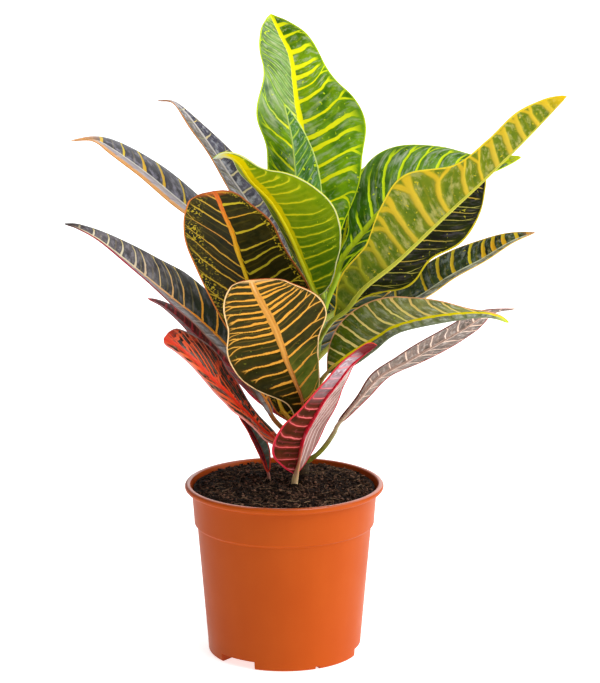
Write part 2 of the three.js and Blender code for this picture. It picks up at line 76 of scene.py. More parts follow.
def put(tree, kind, inputs=(), **settings):
    """Adds a shader node and returns its first output in use. Inputs are values or other outputs."""
    made = tree.nodes.new("ShaderNode" + kind)
    for key, value in settings.items():
        setattr(made, key, value)
    for key, value in inputs.items() if isinstance(inputs, dict) else enumerate(inputs):
        if isinstance(value, bpy.types.NodeSocket):
            tree.links.new(value, made.inputs[key])
        elif value is not None:
            made.inputs[key].default_value = value
    return next(o for o in made.outputs if o.enabled)


def new_material(name, **finish):
    """A material with a Principled shader, whose plain values are set on its own sockets."""
    material = bpy.data.materials.new(name)
    material.use_nodes = True
    shader = material.node_tree.nodes["Principled BSDF"]
    for key, value in finish.items():
        shader.inputs[key.replace("_", " ").title().replace("Ior", "IOR")].default_value = value
    return material, material.node_tree, shader


print("helpers ready, white is", colour("#ffffff"))

# %% [markdown]
# ## Camera, floor and light
# The camera looks down on the pot by 12.5 degrees from 1.6 m, through a long lens, so the rim shows as a
# flat ellipse and the leaves keep their proportions. The floor is plain and pale, and glows faintly, as a
# lit sweep of paper does. The light is a pale room with three wide suns: the key from the front right, a
# low one from the right that lights the pot's side, and a faint one from behind for the leaf edges. Wide
# suns keep the shadows faint, and a room that isn't too bright keeps dark glossy leaves dark.

# %% Camera
VIEW_DOWN = math.radians(12.5)
CAMERA_DISTANCE = 1.6
AIM = Vector((0.0095, 0, 0.191))

camera = bpy.data.objects.new("camera", bpy.data.cameras.new("camera"))
bpy.context.scene.collection.objects.link(camera)
camera.data.sensor_width = 36
camera.data.lens = 141.6
camera.data.clip_end = 50
back = Vector((0, -math.cos(VIEW_DOWN), math.sin(VIEW_DOWN)))
camera.location = AIM + back * CAMERA_DISTANCE
camera.rotation_euler = (math.pi / 2 - VIEW_DOWN, 0, 0)
bpy.context.scene.camera = camera
print("camera at", [round(v, 3) for v in camera.location])

# %% Floor
bpy.ops.object.select_all(action="DESELECT")
bpy.ops.mesh.primitive_plane_add(size=40, location=(0, 0, 0))
floor = bpy.context.object
floor.name = "floor"
floor_material, _, floor_shader = new_material("floor_white_paint", roughness=0.9)
floor_shader.inputs["Base Color"].default_value = colour("#f4f4f4")
floor_shader.inputs["Emission Color"].default_value = colour("#ffffff")
floor_shader.inputs["Emission Strength"].default_value = 0.7
floor.data.materials.append(floor_material)
print("floor:", floor.dimensions[:])

# %% Light
bpy.context.scene.view_settings.view_transform = "Standard"
world = bpy.data.worlds.new("white_room")
bpy.context.scene.world = world
world.use_nodes = True
world.node_tree.nodes["Background"].inputs["Color"].default_value = colour("#ffffff")
world.node_tree.nodes["Background"].inputs["Strength"].default_value = 0.25

SUNS = {
    "key": dict(power=2.3, soft=55, height=50, side=60),
    "right": dict(power=1.7, soft=35, height=12, side=80),
    "back": dict(power=1.2, soft=60, height=35, side=165),
}
for name, sun in SUNS.items():
    lamp = bpy.data.lights.new(name, "SUN")
    lamp.energy = sun["power"]
    lamp.angle = math.radians(sun["soft"])
    holder = bpy.data.objects.new(name, lamp)
    holder.rotation_euler = (math.radians(90 - sun["height"]), 0, math.radians(sun["side"]))
    bpy.context.scene.collection.objects.link(holder)
print("lights:", list(SUNS))

# %% [markdown]
# ## Grids that take any shape
# A leaf, a stalk, the soil and the stem are all sheets that follow a rule: so far along, so far across.
# A plane grid from the mesh menu is the natural start. Its corners are then moved to where the rule puts
# them. The same two numbers of each corner also go into its UV maps, so patterns follow the surface.

# %% Grid helpers
def deselect():
    bpy.ops.object.select_all(action="DESELECT")


def only(piece, *others):
    """Makes a piece the active object, and selects it, others to join to it and nothing else."""
    deselect()
    for selected in (*others, piece):
        selected.select_set(True)
    bpy.context.view_layer.objects.active = piece


def new_grid(name, across, along):
    """A grid of so many faces each way. Returns it and each corner's place across and along, 0 to 1."""
    deselect()
    bpy.ops.mesh.primitive_grid_add(x_subdivisions=across, y_subdivisions=along, size=1)
    piece = bpy.context.object
    piece.name = piece.data.name = name
    corners = np.empty(len(piece.data.vertices) * 3)
    piece.data.vertices.foreach_get("co", corners)
    corners = corners.reshape(-1, 3) + 0.5
    return piece, corners[:, 0], corners[:, 1]


def move_corners(piece, places):
    """Puts every corner of a piece at its place in millimetres."""
    piece.data.vertices.foreach_set("co", (np.asarray(places) * MM).ravel())
    piece.data.update()


def paint_uv(piece, name, first, second):
    """A UV map from two numbers for each corner."""
    layer = piece.data.uv_layers.get(name) or piece.data.uv_layers.new(name=name)
    corner_of = np.empty(len(piece.data.loops), dtype=int)
    piece.data.loops.foreach_get("vertex_index", corner_of)
    both = np.stack([np.broadcast_to(first, len(piece.data.vertices)),
                     np.broadcast_to(second, len(piece.data.vertices))], 1)
    layer.data.foreach_set("uv", both[corner_of].astype(np.float32).ravel())


def merge_doubles(piece, distance=0.00001):
    """Joins corners that lie in one place, so that a rolled grid closes."""
    only(piece)
    bpy.ops.object.mode_set(mode="EDIT")
    bpy.ops.mesh.select_all(action="SELECT")
    bpy.ops.mesh.remove_doubles(threshold=distance)
    bpy.ops.mesh.normals_make_consistent(inside=False)
    bpy.ops.object.mode_set(mode="OBJECT")


def finish_piece(piece, node, smooth):
    """Smooths a piece and lets it stand for a node of the plain model."""
    only(piece)
    bpy.ops.object.shade_smooth_by_angle(angle=math.radians(smooth))
    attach(piece, "root")
    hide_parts(node)
    count = sum(len(p.vertices) - 2 for p in piece.data.polygons)
    print(piece.name, "stands for", node, "with", count, "triangles")


# %% [markdown]
# ## The pot
# A nursery pot is injection moulded in one piece: thin walls, a wider collar with a rolled rim that
# stiffens the mouth, and a foot ring with notches that lets water out. One outline turned round the axis
# gives all of it, so the outline is drawn as edges and spun. Round stretches are arcs. The notches and
# drain holes are then cut with Boolean modifiers.

# %% Pot outline
RIM_TOP, RIM_RADIUS = 104.3, 59.9
LIP_RADIUS = 1.8  # the roll of the rim
COLLAR_TOP, COLLAR_FOOT, COLLAR_FOOT_HEIGHT = 55.4, 54.3, 81.6
BODY_TOP, BODY_FOOT = 52.4, 46.2
WALL = 1.3
FLOOR_UNDERSIDE, FLOOR_TOP = 5.5, 7.0
FOOT_INNER, PAD_RADIUS = 36.5, 10.0


def arc(centre, radius, start, end, steps=8):
    """Points on an arc in the outline's plane, angles in degrees from the outward direction."""
    angles = np.radians(np.linspace(start, end, steps + 1))
    return [(centre[0] + radius * math.cos(a), centre[1] + radius * math.sin(a)) for a in angles]


pot_outline = [
    (0, 0.05), (PAD_RADIUS, 0.05), (PAD_RADIUS + 1, FLOOR_UNDERSIDE), (FOOT_INNER - 0.6, FLOOR_UNDERSIDE),
    (FOOT_INNER, 0.05),
    *arc((BODY_FOOT - 1.4, 1.45), 1.4, -90, 0),
    (BODY_FOOT + 0.4, 8),
    (BODY_TOP, COLLAR_FOOT_HEIGHT - 4.6),
    *arc((BODY_TOP + 1.2, COLLAR_FOOT_HEIGHT - 3.6), 1.2, 180, 110, 4),
    *arc((COLLAR_FOOT - 1.3, COLLAR_FOOT_HEIGHT - 1.1), 1.3, -50, 0, 5),
    (COLLAR_FOOT + 0.1, COLLAR_FOOT_HEIGHT + 1),
    (COLLAR_TOP, RIM_TOP - 8.5),
    *arc((COLLAR_TOP + 1.3, RIM_TOP - 5.4), 1.3, 180, 120, 4),
    *arc((RIM_RADIUS - LIP_RADIUS, RIM_TOP - LIP_RADIUS - 0.1), LIP_RADIUS, -60, 0, 6),
    *arc((RIM_RADIUS - LIP_RADIUS, RIM_TOP - LIP_RADIUS), LIP_RADIUS, 0, 90, 9),
    *arc((RIM_RADIUS - LIP_RADIUS - 0.5, RIM_TOP - 1.2), 1.2, 90, 180, 6),
    (COLLAR_TOP + 0.1, RIM_TOP - 3.4),
    (COLLAR_TOP - WALL, RIM_TOP - 10.4), (COLLAR_FOOT - WALL, COLLAR_FOOT_HEIGHT + 1.4),
    (BODY_TOP - WALL, COLLAR_FOOT_HEIGHT - 2.6), (BODY_FOOT - WALL + 0.1, FLOOR_TOP + 1.4),
    (BODY_FOOT - WALL - 0.8, FLOOR_TOP), (0, FLOOR_TOP),
]
print("outline points:", len(pot_outline))

# %% Spin the outline
POT_SIDES = 180
pot_mesh = bpy.data.meshes.new("pot_moulding")
pot_edges = [(i, i + 1) for i in range(len(pot_outline) - 1)]
pot_mesh.from_pydata([(r * MM, 0, z * MM) for r, z in pot_outline], pot_edges, [])
pot = bpy.data.objects.new("pot_moulding", pot_mesh)
bpy.context.scene.collection.objects.link(pot)
only(pot)
bpy.ops.object.mode_set(mode="EDIT")
bpy.ops.mesh.select_all(action="SELECT")
bpy.ops.mesh.spin(steps=POT_SIDES, angle=2 * math.pi, center=(0, 0, 0), axis=(0, 0, 1))
bpy.ops.object.mode_set(mode="OBJECT")
merge_doubles(pot, 0.000002)
print("spun pot:", len(pot.data.polygons), "faces")

# %% Cut the notches and drain holes
# Width and height in mm, and the angle round the pot in degrees.
NOTCHES = [(25, 5, a) for a in (-128, -8, 112)] + [(3, 1.8, a) for a in (-64, 52, 172)]
NOTCH_MIDDLE, NOTCH_DEPTH = 47, 28  # measured outwards from the axis, in mm
DRAIN_HOLES, HOLE_RADIUS, HOLE_FROM_AXIS = 6, 3.5, 27


def cut_with(piece, cutter, place, angle):
    """Puts a cutter in its place, turns it round the axis, subtracts it from a piece and removes it."""
    cutter.data.transform(Matrix.Rotation(angle, 4, "Z") @ place)
    only(piece)
    cut = piece.modifiers.new("cut", "BOOLEAN")
    cut.operation, cut.solver, cut.object = "DIFFERENCE", "EXACT", cutter
    bpy.ops.object.modifier_apply(modifier=cut.name)
    bpy.data.objects.remove(cutter, do_unlink=True)


for width, height, angle in NOTCHES:
    deselect()
    bpy.ops.mesh.primitive_cube_add(size=1)
    block = Matrix.Diagonal((NOTCH_DEPTH * MM, width * MM, 2 * height * MM, 1))
    place = Matrix.Translation((NOTCH_MIDDLE * MM, 0, 0)) @ block
    cut_with(pot, bpy.context.object, place, math.radians(angle))
for hole in range(DRAIN_HOLES):
    deselect()
    bpy.ops.mesh.primitive_cylinder_add(vertices=32, radius=HOLE_RADIUS * MM, depth=6 * MM)
    place = Matrix.Translation((HOLE_FROM_AXIS * MM, 0, 6.3 * MM))
    cut_with(pot, bpy.context.object, place, hole * 2 * math.pi / DRAIN_HOLES)
print("pot after cutting:", len(pot.data.polygons), "faces")

# %% [markdown]
# ### Moulded polypropylene
# The pot is polypropylene coloured terracotta all through, with an IOR of 1.49. The mould is lightly
# blasted, so the surface has a soft sheen, a grain of a fraction of a millimetre and slight sink and flow
# marks that run up the wall. Such a wall has next to no clear reflections, so its specular level is low.
# The top of the rim is rubbed smooth where pots are stacked and handled. It is a material of its own, with
# a high specular level and less roughness, and it draws the bright line round the mouth.

# %% Pot material
RUBBED_FROM = 103.6  # the top of the rim, in mm from the ground


def pot_plastic(name, shine, smoother):
    material, tree, shader = new_material(name, ior=1.49, specular_ior_level=shine)
    place = put(tree, "TexCoord").node.outputs["Object"]
    flow_place = put(tree, "Mapping", {"Vector": place, "Scale": (1, 1, 0.12)})
    flow = put(tree, "TexNoise", {"Vector": flow_place, "Scale": 1 / (11 * MM), "Detail": 3.0})
    cloud = put(tree, "TexNoise", {"Vector": place, "Scale": 1 / (30 * MM), "Detail": 4.0})
    grain = put(tree, "TexNoise", {"Vector": place, "Scale": 1 / (0.6 * MM), "Detail": 2.0})
    tone = put(tree, "Mix", {0: flow, 6: colour("#ac480c"), 7: colour("#b44e12")}, data_type="RGBA")
    patches = put(tree, "MapRange", [cloud, 0.35, 0.75, 0, 0.35])
    tone = put(tree, "Mix", {0: patches, 6: tone, 7: colour("#a43e08")}, data_type="RGBA")
    tree.links.new(tone, shader.inputs["Base Color"])
    rough = put(tree, "MapRange", [cloud, 0.3, 0.7, 0.36 - smoother, 0.46 - smoother])
    tree.links.new(rough, shader.inputs["Roughness"])
    relief = put(tree, "Math", [put(tree, "Math", [flow, 3.0], operation="MULTIPLY"), grain],
                 operation="ADD")
    bump = put(tree, "Bump", {"Strength": 0.25, "Distance": 0.06 * MM, "Height": relief})
    tree.links.new(bump, shader.inputs["Normal"])
    return material


pot.data.materials.append(pot_plastic("polypropylene_moulded_terracotta", 0.08, 0))
pot.data.materials.append(pot_plastic("polypropylene_rubbed_rim", 0.9, 0.1))
rim_faces = [face for face in pot.data.polygons if face.center.z > RUBBED_FROM * MM]
for face in rim_faces:
    face.material_index = 1
print("faces of the rubbed rim:", len(rim_faces))
finish_piece(pot, "pot", smooth=35)

# %% [markdown]
# ## The soil
# Potting soil is peat and composted bark: dark crumbs from dust to a few millimetres, with paler roots
# and fibres. A bump map alone would look like felt, so the soil is a lumpy closed body with thousands of
# loose crumbs on it, heaped where the stem stands. Four crumbs are modelled, from ico spheres of twenty
# faces, and their copies are turned, scaled and sunk at places drawn with a fixed seed.

# %% Soil body
SOIL_EDGE, SOIL_CROWN = 101.7, 2.6  # height at the wall, and how much higher the middle is
SOIL_RADIUS = 54.4
SOIL_SIDES, SURFACE_RINGS = 200, 64


def soil_height(x, y):
    """Height of the soil's surface: fuller in the middle, lumpy, and heaped round the stem."""
    out = np.minimum(1, np.hypot(x, y) / COLLAR_TOP)
    wide = 0.5 * np.sin(x / 6.1 + 1.3) * np.cos(y / 5.3 + 0.4)
    fine = 0.35 * np.sin(x / 3.6 + 2) * np.sin(y / 4.2)
    foot = 3.2 * np.exp(-((x - 12) ** 2 + (y - 6) ** 2) / 90)
    behind = 2 * np.exp(-((x - 26) ** 2 + (y - 24) ** 2) / 200)
    return SOIL_EDGE + SOIL_CROWN * (1 - out**2) + (wide + fine + foot + behind) * (1 - out**6)


def lumps(x, y):
    """Clods and grit on the surface, in millimetres."""
    total = 0
    for high, wide, layer in ((1.7, 5.5, 0.3), (0.55, 2.1, 4), (0.3, 0.9, 8)):
        total += high * np.array([noise.noise(Vector((a / wide, b / wide, layer))) for a, b in zip(x, y)])
    return total


soil_profile = [(0.4, 7.3), (43.2, 7.3), (44.6, 8.6), (50.4, 75.1), (52.4, 79.2), (53.7, 94)]
surface_rings = np.linspace(SOIL_RADIUS, 0.2, SURFACE_RINGS)
rings = len(soil_profile) + len(surface_rings)
soil, around, along = new_grid("soil_peat", SOIL_SIDES, rings - 1)
row = np.rint(along * (rings - 1)).astype(int)
ring_radius = np.array([r for r, _ in soil_profile] + list(surface_rings))[row]
angle = around * 2 * math.pi
x, y = ring_radius * np.cos(angle), ring_radius * np.sin(angle)
top = row >= len(soil_profile)
z = np.array([h for _, h in soil_profile] + [0] * len(surface_rings), dtype=float)[row]
flatter_at_wall = np.clip((SOIL_RADIUS - ring_radius[top]) / 4, 0.15, 1)
z[top] = soil_height(x[top], y[top]) + lumps(x[top], y[top]) * flatter_at_wall
move_corners(soil, np.stack([x, y, z], 1))
merge_doubles(soil)
print("soil body:", len(soil.data.polygons), "faces")

# %% Crumbs and fibres
CRUMBS, FIBRES = 4300, 420
SCATTER_RADIUS = 53.6
STALK_FEET = [(11, 8, 5.2), (6, -6, 2.6), (-9, 6, 1.8)]  # place and radius of what stands in the soil
random = np.random.default_rng(7)


def crumb_model(index):
    """One crumb, about 1 mm across, as corners and faces."""
    deselect()
    bpy.ops.mesh.primitive_ico_sphere_add(subdivisions=1, radius=0.5)
    model = bpy.context.object
    corners = np.array([v.co[:] for v in model.data.vertices])
    push = np.array([noise.noise(Vector(c) * 2.3 + Vector((index * 7.1, 0, 0))) for c in corners])
    corners *= (1 + 0.75 * push)[:, None] * np.array([1, 0.8, 0.62])
    faces = np.array([p.vertices[:] for p in model.data.polygons])
    bpy.data.objects.remove(model, do_unlink=True)
    return corners, faces


def turned(corners):
    """The corners turned any way round and tilted by up to 46 degrees."""
    spin = Matrix.Rotation(random.uniform(0, 6.283), 3, "Z")
    tilt = Matrix.Rotation(random.uniform(-0.8, 0.8), 3, "X")
    return corners @ np.array(spin @ tilt).T


def scatter(count, models, size_of):
    """Copies of the models on the soil, as corners, faces and a shade for each corner."""
    all_corners, all_faces, shades, start = [], [], [], 0
    for _ in range(count):
        radius, turn = SCATTER_RADIUS * math.sqrt(random.uniform(0, 1)), random.uniform(0, 2 * math.pi)
        px, py = radius * math.cos(turn), radius * math.sin(turn)
        if any(math.hypot(px - cx, py - cy) < r for cx, cy, r in STALK_FEET):
            continue
        corners, faces = models[random.integers(len(models))]
        size = min(size_of(), 1.2 * (SCATTER_RADIUS + 1 - radius) + 0.5)
        placed = turned(corners * size)
        ground = soil_height(np.array([px]), np.array([py]))[0] + lumps([px], [py])[0] * 0.9
        placed = placed + [px, py, ground + 0.12 * size]
        all_corners.append(placed)
        all_faces.append(faces + start)
        shades.append(np.full(len(placed), random.uniform(0, 1)))
        start += len(placed)
    return np.concatenate(all_corners), np.concatenate(all_faces), np.concatenate(shades)


def fibre_model(bend):
    """A thin bent straw with three sides, 1 mm long before it is scaled."""
    steps = np.linspace(-0.5, 0.5, 6)
    corners, faces = [], []
    for i, s in enumerate(steps):
        for side in range(3):
            a = side * 2.094  # a third of a turn
            corners.append((s, bend * s * s + 0.022 * math.cos(a), 0.022 * math.sin(a) + 0.1 * s))
        if i:
            for side in range(3):
                a, b = (i - 1) * 3 + side, (i - 1) * 3 + (side + 1) % 3
                faces += [(a, b, b + 3), (a, b + 3, a + 3)]
    last = (len(steps) - 1) * 3
    faces += [(0, 2, 1), (last, last + 1, last + 2)]
    return np.array(corners), np.array(faces)


def loose_piece(name, parts):
    """One object from scattered copies, with their shades in a UV map."""
    corners, faces, shades = parts
    mesh = bpy.data.meshes.new(name)
    mesh.from_pydata((corners * MM).tolist(), [], faces.tolist())
    piece = bpy.data.objects.new(name, mesh)
    bpy.context.scene.collection.objects.link(piece)
    paint_uv(piece, "shade", shades, 0.0)
    return piece


crumb_models = [crumb_model(i) for i in range(4)]
fibre_models = [fibre_model(bend) for bend in (0.1, 0.5, -0.4)]
crumbs = loose_piece("crumbs", scatter(CRUMBS, crumb_models, lambda: 0.6 + 2.3 * random.power(0.35)))
fibres = loose_piece("fibres", scatter(FIBRES, fibre_models, lambda: random.uniform(3, 9)))
print("crumbs:", len(crumbs.data.polygons), "faces, fibres:", len(fibres.data.polygons), "faces")

# %% [markdown]
# ### Peat, bark crumbs and fibres
# Moist peat is nearly black with brown and reddish crumbs, and it scatters light so strongly that it has
# almost no shine, though wet faces glint a little. Each crumb has its own shade from its UV map, and a
# noise adds the grain within it.

# %% Soil materials
def peat(name, dark, mid, light, shine):
    material, tree, shader = new_material(name, ior=1.4, specular_ior_level=shine, roughness=0.88)
    place = put(tree, "TexCoord").node.outputs["Object"]
    shade = put(tree, "SeparateXYZ", [put(tree, "UVMap", uv_map="shade")])
    grain = put(tree, "TexNoise", {"Vector": place, "Scale": 1 / (1.8 * MM), "Detail": 5.0,
                                   "Roughness": 0.65})
    patch = put(tree, "TexNoise", {"Vector": place, "Scale": 1 / (9 * MM), "Detail": 2.0})
    parts = [put(tree, "Math", [part, share], operation="MULTIPLY")
             for part, share in ((shade, 0.45), (grain, 0.75), (patch, 0.25))]
    level = put(tree, "Math", parts[:2], operation="ADD")
    ramp = put(tree, "ValToRGB", [put(tree, "Math", [level, parts[2]], operation="ADD")])
    stops = ramp.node.color_ramp.elements
    stops[0].position, stops[0].color = 0.42, colour(dark)
    stops[1].position, stops[1].color = 0.98, colour(light)
    middle = stops.new(0.7)
    middle.color = colour(mid)
    tree.links.new(ramp, shader.inputs["Base Color"])
    bump = put(tree, "Bump", {"Strength": 0.8, "Distance": 0.6 * MM, "Height": grain})
    tree.links.new(bump, shader.inputs["Normal"])
    return material


paint_uv(soil, "shade", 0.35, 0.0)
soil.data.materials.append(peat("peat_moist", "#0a0604", "#1c110a", "#4a3020", 0.15))
crumbs.data.materials.append(peat("bark_crumbs_composted", "#0c0705", "#26170f", "#745442", 0.2))
fibres.data.materials.append(peat("root_fibres_dry", "#33241a", "#604a38", "#94795e", 0.1))
only(soil, crumbs, fibres)
bpy.ops.object.join()
finish_piece(soil, "soil", smooth=60)

# %% [markdown]
# ## The stem
# A young croton has a woody stem 8 to 9 mm thick at the soil, which thins out towards its growing tip.
# Where old leaves fell it keeps low crescent scars in a spiral. A rolled grid follows the stem's line, and
# the scars and the fine ridges of the bark are raised by formula.

# %% Curves through points
def spline(values, x):
    """Smooth curve through evenly spaced numbers or points, at x from 0 to 1."""
    values = np.asarray(values, dtype=float)
    last = len(values) - 1
    place = np.clip(x, 0, 1) * last
    index = np.minimum(place.astype(int), last - 1)
    f = place - index
    padded = np.concatenate([[2 * values[0] - values[1]], values, [2 * values[-1] - values[-2]]])
    a, b, c, d = (padded[index + k] for k in range(4))
    if values.ndim > 1:
        f = f[..., None]
    return 0.5 * (2 * b + (c - a) * f + (2 * a - 5 * b + 4 * c - d) * f**2 + (3 * b - a - 3 * c + d) * f**3)


def blend(values, x):
    """Straight lines between evenly spaced numbers or points, at x from 0 to 1."""
    values = np.asarray(values, dtype=float)
    steps = np.linspace(0, 1, len(values))
    if values.ndim == 1:
        return np.interp(x, steps, values)
    return np.stack([np.interp(x, steps, column) for column in values.T], -1)


def unit(vectors):
    return vectors / np.maximum(np.linalg.norm(vectors, axis=-1, keepdims=True), 1e-9)


class Line:
    """A smooth line through points, asked for by share of its length."""

    def __init__(self, points):
        fine = spline(points, np.linspace(0, 1, 601))
        run = np.concatenate([[0], np.cumsum(np.linalg.norm(np.diff(fine, axis=0), axis=1))])
        self.length = run[-1]
        self.even = np.linspace(0, 1, 401)
        self.samples = np.stack([np.interp(self.even * run[-1], run, column) for column in fine.T], 1)

    def at(self, share):
        return np.stack([np.interp(share, self.even, column) for column in self.samples.T], -1)

    def tangent(self, share, near=0.02):
        return unit(self.at(np.clip(share + near, 0, 1)) - self.at(np.clip(share - near, 0, 1)))


def smoothstep(low, high, x):
    f = np.clip((x - low) / (high - low), 0, 1)
    return f * f * (3 - 2 * f)


print("half way round a bend:", Line([[0, 0, 0], [10, 0, 0], [10, 10, 0]]).at(0.5).round(2))

# %% Stem
STEM = [[11, 8, 84], [11, 8, 120], [14, 8, 150], [18, 9, 180], [23, 9, 205], [24, 10, 222]]
STEM_RADIUS = [4.6, 4.4, 4, 3.6, 3, 1.6]
STEM_SIDES, STEM_STEPS = 40, 150
SCARS = 13

stem_line = Line(STEM)


def tube_grid(name, sides, steps):
    """A grid to roll up. Returns it, the share along, the angle round and which corners close an end."""
    piece, around, along = new_grid(name, sides, steps + 2)
    rows = np.rint(along * (steps + 2)).astype(int)
    ends = (rows == 0) | (rows == steps + 2)
    return piece, np.clip((rows - 1) / steps, 0, 1), around * 2 * math.pi, ends


def stem_radius(share, turn):
    radius = blend(STEM_RADIUS, share)
    for scar in range(SCARS):
        height, facing = 0.12 + 0.067 * scar, (2.4 * scar) % (2 * math.pi)
        away = np.abs((turn - facing + math.pi) % (2 * math.pi) - math.pi)
        radius = radius + 0.55 * np.exp(-((share - height) / 0.007) ** 2) * np.exp(-((away / 0.8) ** 2))
    ridges = 0.09 * np.sin(turn * 11 + 9 * share) + 0.07 * np.sin(turn * 5 + 40 * share)
    return radius + ridges - 0.12


stem, share, turn, ends = tube_grid("stem_bark", STEM_SIDES, STEM_STEPS)
tangent = stem_line.tangent(share)
side = unit(np.cross(tangent, [0.2, 1, 0.1]))
out = side * np.cos(turn)[:, None] + np.cross(tangent, side) * np.sin(turn)[:, None]
radius = stem_radius(share, turn) * np.where(ends, 0.002, 1)
move_corners(stem, stem_line.at(share) + out * radius[:, None])
paint_uv(stem, "run", share, turn / (2 * math.pi))
merge_doubles(stem, 0.000001)
print("stem length in mm:", round(stem_line.length))

# %% [markdown]
# ### Young bark
# The lower stem is corky and grey brown with pale specks, the lenticels it breathes through. Towards the
# tip it is still green and smooth. One ramp along the stem gives the change of age.

# %% Bark material
def young_bark():
    material, tree, shader = new_material("bark_young_corky", ior=1.45, specular_ior_level=0.2,
                                          roughness=0.7)
    place = put(tree, "TexCoord").node.outputs["Object"]
    long_place = put(tree, "Mapping", {"Vector": place, "Scale": (1, 1, 0.25)})
    fibre = put(tree, "TexNoise", {"Vector": long_place, "Scale": 1 / (1.2 * MM), "Detail": 4.0})
    speck = put(tree, "TexVoronoi", {"Vector": place, "Scale": 1 / (2.2 * MM)})
    speck = put(tree, "MapRange", [speck, 0.12, 0.3, 0.7, 0])
    run = put(tree, "SeparateXYZ", [put(tree, "UVMap", uv_map="run")])
    old = put(tree, "Mix", {0: fibre, 6: colour("#1e150d"), 7: colour("#46341e")}, data_type="RGBA")
    old = put(tree, "Mix", {0: speck, 6: old, 7: colour("#6e5c3e")}, data_type="RGBA")
    young = put(tree, "Mix", {0: fibre, 6: colour("#54702a"), 7: colour("#8a9c4a")}, data_type="RGBA")
    age = put(tree, "MapRange", [run, 0.45, 0.85, 0, 1])
    tree.links.new(put(tree, "Mix", {0: age, 6: old, 7: young}, data_type="RGBA"),
                   shader.inputs["Base Color"])
    bump = put(tree, "Bump", {"Strength": 0.6, "Distance": 0.4 * MM, "Height": fibre})
    tree.links.new(bump, shader.inputs["Normal"])
    return material


stem.data.materials.append(young_bark())
finish_piece(stem, "stem", smooth=50)

# %% [markdown]
# ## The shape of a leaf
# Every leaf follows one rule with its own numbers. Its midrib is a smooth line in space. On each side of
# it the blade has a half width at even stations, a fold up or down from the midrib and a curl towards the
# margin. The side veins sweep forward on their way out, and the grid's rows sweep with them, so that the
# relief and the painted veins both follow rows. Left and right are as seen on the upper side with the tip
# pointing away, and a leaf without a right row is the same on both sides. All lengths are in millimetres
# and all angles in degrees.

